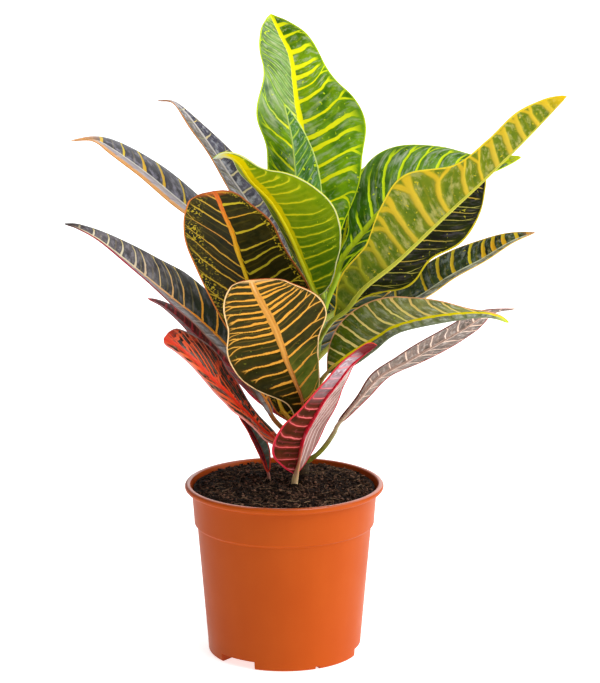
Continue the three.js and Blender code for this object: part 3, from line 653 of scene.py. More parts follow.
# %% Leaf shapes
LEAF_SHAPES = {
    "leaf_crown_back": dict(
        midrib=[[24, 10, 218], [22, 16, 239], [18, 22, 270], [12, 26, 306], [7, 28, 333], [4, 29, 357],
        [-2, 32, 370], [-8, 36, 382]], stalk=0.08, left=[5, 20, 32, 29, 28, 30, 22.5, 20.5, 4],
        right=[5, 14, 23, 32, 39, 33, 23, 13, 2], face=[[0.1, -1, 0.15], [0.15, -1, 0]],
        fold=([30, 38], 8), curl=12, ripple=[2.5, 1.2, 3.2, 0.05, 0.3],
    ),
    "leaf_crown_inner": dict(
        midrib=[[24, 10, 214], [17, 4, 238], [10, 6, 266], [7, 8, 291], [5, 8, 310], [2, 8, 324],
        [0, 9, 332]], stalk=0.12, left=[3, 8, 12, 14, 12, 7, 1.5], right=[3, 8, 13, 15, 13.5, 8, 1.5],
        face=[[0.5, -1, 0.2], [0.5, -1, 0.1]], fold=([70, 75], 20),
    ),
    "leaf_lime_front": dict(
        midrib=[[23, 9, 209], [16, -9, 228], [11, -15, 241], [3, -23, 261], [-7, -31, 280],
        [-19, -38, 294], [-26, -42, 305], [-33, -45, 309], [-40, -47, 308]], stalk=0.1,
        left=[3, 18, 29, 32.5, 23, 8, 1.5], right=[4, 14, 17, 19, 17, 11, 2],
        face=[[0.3, 0.9, 0.5], [0.1, 0.9, 0.6]], fold=(12, 57), curl=15,
    ),
    "leaf_upper_right": dict(
        midrib=[[24, 9, 210], [31, 14, 225], [36, 20, 238], [47, 28, 250], [57, 36, 261], [76, 46, 274],
        [101, 54, 281], [125, 58, 286], [144, 58, 293]], stalk=0.13, left=[3, 8, 23.5, 36, 28, 11, 2],
        right=[3, 11, 15, 12, 9, 7, 2], face=[[-0.2, -0.6, 0.8], [-0.1, -0.7, 0.8]], fold=(20, 38),
        curl=30,
    ),
    "leaf_long_right": dict(
        midrib=[[19, 9, 187], [28, -4, 204], [37, -9, 213], [47, -14, 227], [66, -21, 244],
        [94, -30, 273], [117, -36, 296], [141, -40, 321], [161, -42, 343]], stalk=0.12,
        left=[4, 14, 20, 25, 27, 21, 16, 9, 1.5], right=[3, 14.5, 20, 30.5, 35, 19, 16, 15, 4],
        face=[[-0.37, 0.53, 0.76], [-0.3, 0.6, 0.7]], fold=([50, 42], [50, 42]), curl=10,
    ),
    "leaf_dark_right": dict(
        midrib=[[22, 9, 201], [32, 16, 207], [44, 21, 220], [67, 26, 241], [88, 31, 259], [107, 35, 275],
        [117, 36, 284], [122, 36, 288]], stalk=0.1, left=[3, 11, 13, 12, 11, 10, 2],
        right=[3, 10.5, 23.5, 20, 24.5, 18, 2], face=[[0.1, -0.5, 0.85], [0.2, -0.6, 0.8]], fold=(20, 5),
    ),
    "leaf_mid_right": dict(
        midrib=[[18, 8, 177], [37, 18, 192], [61, 26, 203], [82, 32, 212], [100, 37, 223], [120, 41, 233],
        [137, 43, 243], [152, 44, 249]], stalk=0.2, left=[4, 12.5, 18, 20.5, 19, 11.5, 1],
        right=[3, 12, 15, 12, 10, 6, 1], face=[[-0.1, -0.5, 0.9], [0, -0.6, 0.8]], fold=(0, 46), curl=15,
    ),
    "leaf_low_right": dict(
        midrib=[[14, 8, 149], [20, -6, 165], [26, -11, 175], [37, -18, 186], [53, -28, 198.5],
        [66, -36, 208], [88, -47, 216], [111, -54, 219.5], [122, -57, 218.5], [129, -58, 215]],
        stalk=0.21, left=[1, 20, 26, 21, 13, 3.5, 1.5], right=[2, 9, 10, 9, 9, 6, 2],
        face=[[-0.3, -0.8, 0.4], [-0.2, -0.35, 0.9], [0.1, -0.3, 0.95]], fold=([25, 20], 12),
    ),
    "leaf_curled_right": dict(
        midrib=[[11, 8, 114], [19, 3, 120], [25, 1, 127], [30, -3, 136], [33, -6, 143], [45, -13, 160],
        [57, -20, 175], [73, -28, 186], [86, -33, 195], [104, -37, 206.5], [119, -39, 216.5],
        [134, -39, 219]], stalk=0.22, left=[3, 6.5, 8, 12.5, 17, 12, 1.5],
        right=[2, 2.5, 7.5, 12, 15, 14, 3.5], face=[[0.1, 0.7, 0.7], [0.2, 0.5, 0.8]],
        fold=([30, 26], -5),
    ),
    "leaf_red_front": dict(
        midrib=[[6, -6, 95], [6, -6, 103], [7, -8, 111], [9, -12, 122], [12, -19, 138], [18, -25, 151],
        [24, -31, 163], [32, -37, 175], [39, -43, 186], [46, -46, 193], [54, -46, 199]], stalk=0.13,
        left=[3, 16, 20, 17.5, 9.5, 3, 1.5], right=[3, 19, 20, 13, 11, 9.5, 9], face=[[-0.1, 0.9, 0.5]],
        fold=(50, -12), stalk_radius=2,
    ),
    "leaf_olive_front": dict(
        midrib=[[11, 8, 119], [12, -7, 139], [11, -15, 158], [6, -25, 174], [2, -34, 186], [-1, -43, 197],
        [-5, -54, 211], [-10, -66, 224], [-15, -78, 236], [-18, -89, 246]], stalk=0.14,
        left=[4, 9, 15, 19, 23, 31, 31, 24, 16], right=[3, 10, 27.5, 32.5, 27, 22.5, 9],
        face=[[0, 0.9, 0.5], [0.1, 0.75, 0.7]], fold=([35, 12], [-4, 6]), curl=10,
    ),
    "leaf_brown_front": dict(
        midrib=[[12, 8, 130], [3, -4, 145], [-3, -9, 157], [-10, -19, 191], [-16, -29, 216],
        [-21, -38, 236], [-26, -46, 253], [-29, -53, 266], [-33, -60, 277], [-37, -67, 289],
        [-39, -70, 293]], stalk=0.1, left=[4, 18.5, 29, 34, 28, 23, 9], right=[3, 8, 18, 25, 29, 29, 15],
        face=[[0, 0.9, 0.5], [0.1, 0.75, 0.7]], fold=(12, 12), curl=10,
    ),
    "leaf_upper_left": dict(
        midrib=[[22, 8, 203], [10, 18, 220], [-6, 26, 243], [-21, 33, 268], [-31, 38, 282],
        [-46, 43, 304], [-58, 46, 320], [-67, 47, 328], [-76, 47, 329]], stalk=0.15,
        left=[3, 14, 16, 13, 8, 8, 1.5], right=[3, 14, 20, 20, 12, 4, 1],
        face=[[0.3, -0.3, 0.9], [-0.3, -0.3, 0.9]], fold=(36, 0),
    ),
    "leaf_mid_left": dict(
        midrib=[[19, 9, 183], [-1, 15, 209], [-26, 22, 239], [-44, 27, 257], [-61, 31, 269],
        [-82, 35, 286], [-102, 38, 300], [-114, 39, 306], [-127.9, 39, 306]], stalk=0.2,
        left=[3, 13, 20, 18, 16, 14, 1.5], right=[3, 13, 18, 20.5, 19, 13, 1.5],
        face=[[0.1, -0.3, 0.9], [-0.2, -0.3, 0.9]], fold=(35, 0),
    ),
    "leaf_long_left": dict(
        midrib=[[12, 8, 125], [-4, -1, 141], [-11, -4, 155], [-20, -7, 171], [-33, -10, 189],
        [-49, -13, 206], [-65, -17, 220], [-86, -22, 239], [-106, -25, 256], [-119, -27, 264],
        [-127, -28, 267]], stalk=0.15, left=[5, 15, 16, 18, 8.5, 3.5, 1.5],
        right=[3, 15, 20, 28, 20, 10, 1.5], face=[[0.1, -0.3, 0.9], [-0.2, -0.3, 0.9]],
        fold=([20, 30], 22),
    ),
    "leaf_wine_left": dict(
        midrib=[[13, 8, 135], [-13, 15, 150], [-33, 18, 171], [-50, 20, 187], [-62, 21, 199],
        [-73, 21, 208], [-82, 20, 213]], stalk=0.25, left=[2, 7, 9.5, 9.5, 8, 5.5, 1],
        right=[2, 8, 13, 14, 12, 7, 1.5], face=[[0, -0.2, 1]], fold=(25, 20),
    ),
    "leaf_red_left": dict(
        midrib=[[11, 8, 112], [4, -6, 124], [-4, -11, 132], [-13, -13, 140], [-22, -18, 151],
        [-32, -23, 163], [-41, -27, 173], [-53, -31, 187], [-63, -33, 196], [-70, -33, 200]], stalk=0.2,
        left=[3, 9, 10, 14, 8, 6.5, 6], right=[3, 7, 9.5, 15.5, 17, 15, 10],
        face=[[0, -0.5, 0.85], [-0.2, -0.5, 0.8]], fold=(30, 10),
    ),
    "leaf_basal_left": dict(
        midrib=[[-9, 6, 95], [-9, 6, 103], [-10, 5, 110], [-13, 3, 122], [-19, 1, 135], [-25, 0, 145],
        [-29, 0, 154]], stalk=0.22, left=[1.5, 4, 6, 6, 5, 4, 1], face=[[0.1, -0.8, 0.5]],
        fold=(58, 58), stalk_radius=1,
    ),
    "leaf_back_upper": dict(
        midrib=[[24, 11, 208], [33, 42, 229], [39, 66, 252], [46, 80, 268], [52, 88, 279], [57, 90, 284]],
        stalk=0.15, left=[3, 14, 18, 18, 14, 8, 2], face=[[-0.3, -0.7, 0.7]], fold=(30, 30),
    ),
    "leaf_back_left": dict(
        midrib=[[21, 9, 195], [11, 40, 212], [2, 72, 230], [-6, 102, 241], [-13, 125, 244]], stalk=0.15,
        left=[3, 17, 24, 25, 21, 12, 2], face=[[0.1, -0.6, 0.8], [0, -0.3, 0.9]], fold=(20, 20),
    ),
    "leaf_back_right": dict(
        midrib=[[20, 9, 191], [34, 38, 202], [48, 70, 216], [62, 100, 225], [72, 124, 228]], stalk=0.15,
        left=[3, 17, 24, 25, 21, 12, 2], face=[[-0.1, -0.6, 0.8], [0, -0.3, 0.9]], fold=(20, 20),
    ),
    "leaf_back_middle": dict(
        midrib=[[16, 8, 168], [16, 45, 177], [13, 82, 185], [10, 115, 185], [7, 138, 180]], stalk=0.15,
        left=[3, 17, 24, 25, 21, 12, 2], face=[[0, -0.6, 0.8], [0, -0.3, 0.9]], fold=(20, 20),
    ),
    "leaf_back_low": dict(
        midrib=[[15, 8, 157], [5, 38, 165], [-6, 70, 170], [-16, 98, 169], [-23, 118, 163]], stalk=0.15,
        left=[3, 15, 21, 22, 18, 10, 2], face=[[0.1, -0.5, 0.8], [0, -0.3, 0.9]], fold=(20, 20),
    ),
}
print("leaves:", len(LEAF_SHAPES))

# %% Leaf surface
STALK_RADIUS = 1.5
VEIN_SWEEP = 0.6  # how far a side vein runs forward for each millimetre of width
BLADE_THICKNESS = 0.5
LEAST_HALF_WIDTH = 0.25


class LeafShape:
    """Turns a place on the blade, S from its base to its tip and V from -1 to 1 across, into a point."""

    def __init__(self, name):
        rule = LEAF_SHAPES[name]
        self.name, self.line, self.stalk = name, Line(rule["midrib"]), rule["stalk"]
        self.sides = rule["left"], rule.get("right", rule["left"])
        self.face, self.fold = rule["face"], rule["fold"]
        self.curl = math.radians(rule.get("curl", 20))
        self.ripple = rule.get("ripple", [0, 0, 1, 0, 0])
        self.stalk_radius = rule.get("stalk_radius", STALK_RADIUS)
        self.blade_length = self.line.length * (1 - self.stalk)

    def wave(self, q, V):
        _, _, count, phase_left, phase_right = self.ripple
        return np.sin(2 * np.pi * (count * q + np.where(V < 0, phase_left, phase_right)))

    def half_width(self, q, V):
        width = np.where(V < 0, spline(self.sides[0], q), spline(self.sides[1], q))
        width = np.maximum(width + self.ripple[1] * self.wave(q, V) * np.clip(width / 10, 0, 1), 0)
        base_round = np.sqrt(1 - (1 - np.clip(q / 0.06, 0, 1)) ** 2)
        tip_round = np.sqrt(1 - (1 - np.clip((1 - q) / 0.05, 0, 1)) ** 2)
        return np.maximum(width * base_round * tip_round, LEAST_HALF_WIDTH)

    def frame(self, share, q):
        """Middle, upper side's normal and direction to the right, at a share of the line."""
        along = self.line.tangent(share)
        facing = blend(self.face, q)
        up = unit(facing - np.sum(facing * along, -1, keepdims=True) * along)
        return self.line.at(share), up, np.cross(along, up)

    def place(self, S, V):
        """The point, the upper side's normal, and the distances in mm to the margin and to the midrib."""
        away = np.abs(V)
        sweep = VEIN_SWEEP * self.half_width(S, V) * away**1.3 / self.blade_length
        q = np.clip(S + sweep * np.clip(3 * (1 - S), 0, 1), 0, 1)
        middle, up, right = self.frame(self.stalk + (1 - self.stalk) * q, q)
        width = self.half_width(q, V)
        fold = np.radians(np.where(V < 0, *(blend(np.atleast_1d(side), q) for side in self.fold)))
        out = width * (np.sin(fold) - np.sin(fold - self.curl * away)) / self.curl
        rise = width * (np.cos(fold - self.curl * away) - np.cos(fold)) / self.curl
        rise = rise + self.ripple[0] * away**2 * self.wave(q, V) * np.clip(width / 12, 0, 1)
        point = middle + right * (np.sign(V) * out)[:, None] + up * rise[:, None]
        return point, up, width * (1 - away), width * away, q


print("blade of leaf_crown_back in mm:", round(LeafShape("leaf_crown_back").blade_length))

# %% [markdown]
# ## The two sides of a leaf
# The pattern of a croton leaf is drawn by its veins, where the green is missing and yellow, orange or red
# shows. So each corner of the blade carries four UV maps. "veins" holds a count that rises by one from
# side vein to side vein, and the place across. "span" holds the distance to the margin in millimetres and
# the distance to the midrib in half widths of its pale band. "run" holds the place along and across, and
# "step" the space between two side veins in millimetres.
# With these, one shader draws forked veins, the band, the margin and the flecks of any leaf. The waxy
# upper side is smooth with sunk veins. The underside is duller and its veins stand out.
#
# A value given as a pair holds for the left and the right half of the blade, for the two halves ripen
# differently and catch the light at different angles: where a half catches the light, its paler and greyer
# colours are painted sheen. Its partner with "far_" in front takes over towards the tip, between the two
# places in "far". Flecks are where the green has gone in spots: "flecks" is how rare they are, "fleck_size"
# their size in millimetres and "fleck_reach" how far in from the margin they come.

# %% Leaf finish
# Each streak colour stands partly for the leaf's own streaks and partly for painted sheen of the wax.
PLAIN_LOOK = dict(
    panel="#3c7d10", deep="#1d5310", halo="#5f9a14", streak_and_sheen="#7d9a6a", fleck="#c8dc20", vein="#f2ec08",
    vein_other="#e6e616", vein_end="#d0e018", rib="#f4ec08", margin="#c4da1c", tip="#c4da1c",
    vein_width=1.5, soft=0.25, taper=0.5, fork=0.66, opening=0.8, reach=0.84, uneven=0.5, halo_width=2.2,
    margin_width=0.5, tip_start=0.97, flecks=0.68, threads=0.12, fleck_reach=99.0, fleck_size=2.1,
    far=(0.4, 0.8), streaks_and_sheen=0.25, rough=0.32, shine=0.1,
)


def leaf_face(name, look, relief):
    """One side of a blade. A value given as a pair holds for the left and for the right half."""
    look = {**PLAIN_LOOK, **look}
    material, tree, shader = new_material(name, ior=1.45, specular_ior_level=look["shine"])
    place = put(tree, "TexCoord").node.outputs["Object"]
    veins, span, run, spacing = (put(tree, "SeparateXYZ", [put(tree, "UVMap", uv_map=layer)])
                                 for layer in ("veins", "span", "run", "step"))
    across, rib_away, away = (part.node.outputs["Y"] for part in (veins, span, run))
    right = put(tree, "Math", [across, 0.0], operation="GREATER_THAN")
    far = put(tree, "MapRange", [run, *look["far"], 0, 1])

    def of(key):
        near_value = plain(look[key])
        if "far_" + key not in look:
            return near_value
        far_value = plain(look["far_" + key])
        if isinstance(np.ravel(look["far_" + key])[0], str):
            return put(tree, "Mix", {0: far, 6: near_value, 7: far_value}, data_type="RGBA")
        return put(tree, "Mix", {0: far, 2: near_value, 3: far_value}, data_type="FLOAT")

    def plain(value):
        if isinstance(value, tuple) and isinstance(value[0], str):
            return put(tree, "Mix", {0: right, 6: colour(value[0]), 7: colour(value[1])},
                       data_type="RGBA")
        if isinstance(value, tuple):
            return put(tree, "MapRange", [right, 0, 1, value[0], value[1]])
        return colour(value) if isinstance(value, str) else value

    # A number of its own for each vein, and the distance in mm to the nearest vein, forked near the margin.
    number = put(tree, "Math", [veins], operation="FLOOR")
    chance = put(tree, "TexWhiteNoise", [put(tree, "CombineXYZ", [number, right])])
    wander = put(tree, "TexNoise", {"Vector": place, "Scale": 1 / (7 * MM), "Detail": 2.0})
    wander = put(tree, "MapRange", [wander, 0.3, 0.7, -0.45, 0.45])
    offset = put(tree, "Math", [put(tree, "Math", [veins], operation="FRACT"), 0.5], operation="SUBTRACT")
    offset = put(tree, "Math", [offset, spacing, wander], operation="MULTIPLY_ADD")
    offset = put(tree, "Math", [offset], operation="ABSOLUTE")
    start = put(tree, "Math", [chance, 0.2, of("fork")], operation="MULTIPLY_ADD")
    opened = put(tree, "Math", [put(tree, "Math", [away, start], operation="SUBTRACT"), 0.0],
                 operation="MAXIMUM")
    opened = put(tree, "Math", [opened, of("opening")], operation="MULTIPLY")
    opened = put(tree, "Math", [opened, spacing], operation="MULTIPLY")
    distance = put(tree, "Math", [put(tree, "Math", [offset, opened], operation="SUBTRACT")],
                   operation="ABSOLUTE")

    # The vein's width, thinner towards its end and different from vein to vein.
    thin = put(tree, "MapRange", [away, 0, 1, 1, 1 - look["taper"]])
    share = put(tree, "MapRange", [chance, 0, 1, 1 - look["uneven"], 1 + 0.4 * look["uneven"]])
    width = thin
    for factor in (share, of("vein_width"), 0.5):
        width = put(tree, "Math", [width, factor], operation="MULTIPLY")
    edge = put(tree, "Math", [width, look["soft"]], operation="ADD")
    core = put(tree, "MapRange", [distance, edge, width, 0, 1], interpolation_type="SMOOTHSTEP")
    end = put(tree, "Math", [chance, -0.22, of("reach")], operation="MULTIPLY_ADD")
    past = put(tree, "Math", [away, end], operation="SUBTRACT")
    core = put(tree, "Math", [core, put(tree, "MapRange", [past, 0.0, 0.14, 1, 0])], operation="MULTIPLY")

    # A thin vein half way between two side veins, which ends sooner and is missing here and there.
    half_way = put(tree, "Math", [put(tree, "Math", [veins, 0.5], operation="ADD")], operation="FLOOR")
    luck = put(tree, "TexWhiteNoise", [put(tree, "CombineXYZ", [half_way, right, 5.0])])
    middle = put(tree, "Math", [put(tree, "Math", [spacing, 0.5], operation="MULTIPLY"), offset],
                 operation="SUBTRACT")
    thread = put(tree, "MapRange", [middle, 0.75, 0.3, 0, look["threads"]])
    ends = put(tree, "MapRange", [put(tree, "Math", [luck, away], operation="SUBTRACT"), 0, 0.1, 0, 1])
    thread = put(tree, "Math", [thread, ends], operation="MULTIPLY")

    # The blade between the veins: mottled, lighter beside the veins, and streaked along them. The streaks
    # are partly the leaf's own colour and partly painted sheen, pale grey patches that stand in for the
    # wax's gloss.
    mottle = put(tree, "TexNoise", {"Vector": place, "Scale": 1 / (9 * MM), "Detail": 4.0,
                                    "Roughness": 0.6})
    mottle = put(tree, "MapRange", [mottle, 0.38, 0.64, 0, 1])
    stripes = put(tree, "CombineXYZ", [put(tree, "Math", [veins, 3.4], operation="MULTIPLY"),
                                      put(tree, "Math", [across, 3.6], operation="MULTIPLY"), right])
    stripes = put(tree, "TexNoise", {"Vector": stripes, "Scale": 1.0, "Detail": 4.0, "Roughness": 0.6})
    # Streaks along the veins: partly the leaf's own streaks, partly painted sheen.
    streak_and_sheen = put(tree, "MapRange", [stripes, 0.48, 0.66, 0, of("streaks_and_sheen")])
    open_part = put(tree, "MapRange", [distance, 0.6, 2.4, 0, 1])
    streak_and_sheen = put(tree, "Math", [streak_and_sheen, open_part], operation="MULTIPLY")
    near = put(tree, "MapRange", [distance, look["halo_width"], 0.2, 0, 0.75],
               interpolation_type="SMOOTHSTEP")
    near = put(tree, "Math", [near, put(tree, "MapRange", [past, -0.1, 0.2, 1, 0.15])],
               operation="MULTIPLY")
    fleck = put(tree, "TexNoise", {"Vector": place, "Scale": 1000 / look["fleck_size"], "Detail": 1.0})
    fleck = put(tree, "MapRange", [fleck, look["flecks"], look["flecks"] + 0.035, 0, 1])
    fleck = put(tree, "Math", [fleck, put(tree, "MapRange", [mottle, 0.25, 0.75, 0.15, 1])],
                operation="MULTIPLY")
    inside = put(tree, "Math", [span, of("fleck_reach")], operation="LESS_THAN")
    fleck = put(tree, "Math", [fleck, inside], operation="MULTIPLY")

    # The veins' colours, and where the pale band, the margin and the tip lie.
    pale = put(tree, "Mix", {0: chance, 6: of("vein"), 7: of("vein_other")}, data_type="RGBA")
    fade = put(tree, "MapRange", [away, 0.45, 1, 0, 1])
    pale = put(tree, "Mix", {0: fade, 6: pale, 7: of("vein_end")}, data_type="RGBA")
    rough_edge = put(tree, "Math", [wander, 0.35, rib_away], operation="MULTIPLY_ADD")
    band = put(tree, "MapRange", [rough_edge, 1.15, 0.9, 0, 1], interpolation_type="SMOOTHSTEP")
    rough_edge = put(tree, "Math", [wander, 0.5, span], operation="MULTIPLY_ADD")
    inward = put(tree, "Math", [rough_edge, of("margin_width")], operation="SUBTRACT")
    border = put(tree, "MapRange", [inward, 0.35, 0.0, 0, 1])
    last = put(tree, "MapRange", [run, look["tip_start"], min(look["tip_start"] + 0.06, 1), 0, 1])

    # All the layers on top of each other, from the blade's green up to the tip's own colour.
    tone = put(tree, "Mix", {0: mottle, 6: of("panel"), 7: of("deep")}, data_type="RGBA")
    layers = [(streak_and_sheen, of("streak_and_sheen")), (near, of("halo")), (fleck, of("fleck")), (thread, of("vein_end")),
              (core, pale), (band, of("rib")), (border, of("margin")), (last, of("tip"))]
    for share, paint in layers:
        tone = put(tree, "Mix", {0: share, 6: tone, 7: paint}, data_type="RGBA")
    tree.links.new(tone, shader.inputs["Base Color"])

    # Wax is a little rougher on the veins. The fine skin is 0.8 mm across, coarser than life so it shows.
    gloss = put(tree, "MapRange", [core, 0, 1, look["rough"], look["rough"] + 0.12])
    tree.links.new(gloss, shader.inputs["Roughness"])
    skin = put(tree, "TexNoise", {"Vector": place, "Scale": 1 / (0.8 * MM), "Detail": 2.0})
    height = put(tree, "Math", [core, relief, put(tree, "Math", [skin, 0.16], operation="MULTIPLY")],
                 operation="MULTIPLY_ADD")
    height = put(tree, "Math", [stripes, 0.35, height], operation="MULTIPLY_ADD")
    bump = put(tree, "Bump", {"Strength": 0.5, "Distance": 0.5 * MM, "Height": height})
    tree.links.new(bump, shader.inputs["Normal"])
    return material


def leaf_rib(name, look, stalk):
    """The stalk, which takes up a share of the line, and the midrib that it runs on into."""
    under = {**PLAIN_LOOK, **look["under"]}
    rib = under["rib"]
    change = [stalk + (1 - stalk) * at for at in under["far"]]
    material, tree, shader = new_material(name, ior=1.45, roughness=0.45, specular_ior_level=0.2)
    place = put(tree, "TexCoord").node.outputs["Object"]
    run = put(tree, "SeparateXYZ", [put(tree, "UVMap", uv_map="run")])
    grain = put(tree, "TexNoise", {"Vector": place, "Scale": 1 / (2.5 * MM), "Detail": 3.0})
    tone = colour(look["stalk"])
    steps = (([run, 0.1, 0.32, 0, 1], rib), ([run, *change, 0, 1], under.get("far_rib", rib)),
             ([run, 0.9, 0.99, 0, 1], under["tip"]),
             ([grain, 0.48, 0.72, 0, 0.35], look.get("blush", rib)))
    for span, paint in steps:
        tone = put(tree, "Mix", {0: put(tree, "MapRange", span), 6: tone, 7: colour(paint)},
                   data_type="RGBA")
    tree.links.new(tone, shader.inputs["Base Color"])
    bump = put(tree, "Bump", {"Strength": 0.3, "Distance": 0.3 * MM, "Height": grain})
    tree.links.new(bump, shader.inputs["Normal"])
    return material


print("a plain look has", len(PLAIN_LOOK), "values")

# %% [markdown]
# ### The colours of each leaf
# A young croton leaf is green and yellow. With age the yellow turns to orange and red and the green turns
# to bronze and black, so the top of the plant is lime and its lowest leaves are red. The plain look is
# the upper side of a green leaf. Families of looks hold what leaves of one age share, and each leaf
# changes a few values. Widths are in millimetres.
#
# "veins" lists where the side veins leave the midrib, for the left and the right half. "spacing" gives an
# even step instead, which "jitter" shifts a little from vein to vein. "rise" is how far a vein runs back
# or forward for each millimetre across, and "hook" how far its end turns. "rib_width" is the width of the
# pale band, and "quilt" how deep the blade dips along its veins.

# %% Families of looks
GREEN_UNDER = dict(
    shine=0.08, panel="#6f8d3c", deep="#587832", halo="#8fa84a", vein="#c9cf6a", vein_other="#c0c860",
    vein_end="#a8b858", rib="#d0d47a", margin="#b4c060", tip="#b4c060", fleck="#9ab050", streak_and_sheen="#86a05a",
    vein_width=1.1, rough=0.5, flecks=0.66,
)
LIME_UNDER = dict(
    shine=0.08, panel="#87a60b", deep="#6a9208", halo="#a3bc14", vein="#ebe01c", vein_other="#e2dc20",
    vein_end="#dde22c", rib="#f0d210", margin="#f0f2b4", tip="#e8c010", fleck="#c0d020", streak_and_sheen="#a2b838",
    vein_width=0.95, fork=0.72, reach=0.86, rough=0.42, flecks=0.7, margin_width=0.55, uneven=0.35,
    halo_width=1.6,
)
LIME_UPPER = dict(
    panel="#5c930e", deep="#3b780f", halo="#86ad14", vein="#f0e614", vein_other="#f0d818",
    vein_end="#d8e01c", rib="#f2e010", margin="#d8dc30",
)
DARK_UPPER = dict(
    shine=0.18, panel="#2c4020", deep="#1a2016", halo="#43521e", vein="#e6cc22", vein_other="#ee9a1c",
    vein_end="#d8c430", rib="#d6cfa0", margin="#d9a62c", tip="#d08030", fleck="#b8b030", streak_and_sheen="#5a665c",
    vein_width=1.9, rough=0.3, halo_width=1.3,
)
DARK_UNDER = dict(
    shine=0.08, panel="#54482c", deep="#3e3820", halo="#76603a", vein="#d0a468", vein_other="#c08c58",
    vein_end="#b08850", rib="#cfa070", margin="#b07040", tip="#a05830", fleck="#8a7a40", streak_and_sheen="#6a5c40",
    vein_width=1.2, rough=0.48,
)
OLIVE_UPPER = dict(
    shine=0.18, panel="#34441a", deep="#1f2c12", halo="#5c5c1c", vein="#eaa830", vein_other="#e0c828",
    vein_end="#d09030", rib="#e88c28", margin="#a4582c", tip="#b85a2c", fleck="#a8a828", streak_and_sheen="#526048",
    vein_width=1.7, rough=0.3,
)
RED_UPPER = dict(
    shine=0.18, panel="#232c14", deep="#14190f", halo="#6c2418", vein="#e23a26", vein_other="#ec5a2c",
    vein_end="#d43a28", rib="#e83426", margin="#e24a34", tip="#e03c28", fleck="#c04028", streak_and_sheen="#4e5a40",
    vein_width=1.6, rough=0.33, flecks=0.66,
)
RED_UNDER = dict(
    shine=0.08, panel="#6e2c30", deep="#4a2422", halo="#94404a", vein="#d8606c", vein_other="#cc4c58",
    vein_end="#c45864", rib="#d02a40", margin="#c02034", tip="#b81c2c", fleck="#a84850", streak_and_sheen="#96626a",
    vein_width=1.0, rough=0.48, flecks=0.7,
)
print("the green of a lime leaf:", LIME_UPPER["panel"])

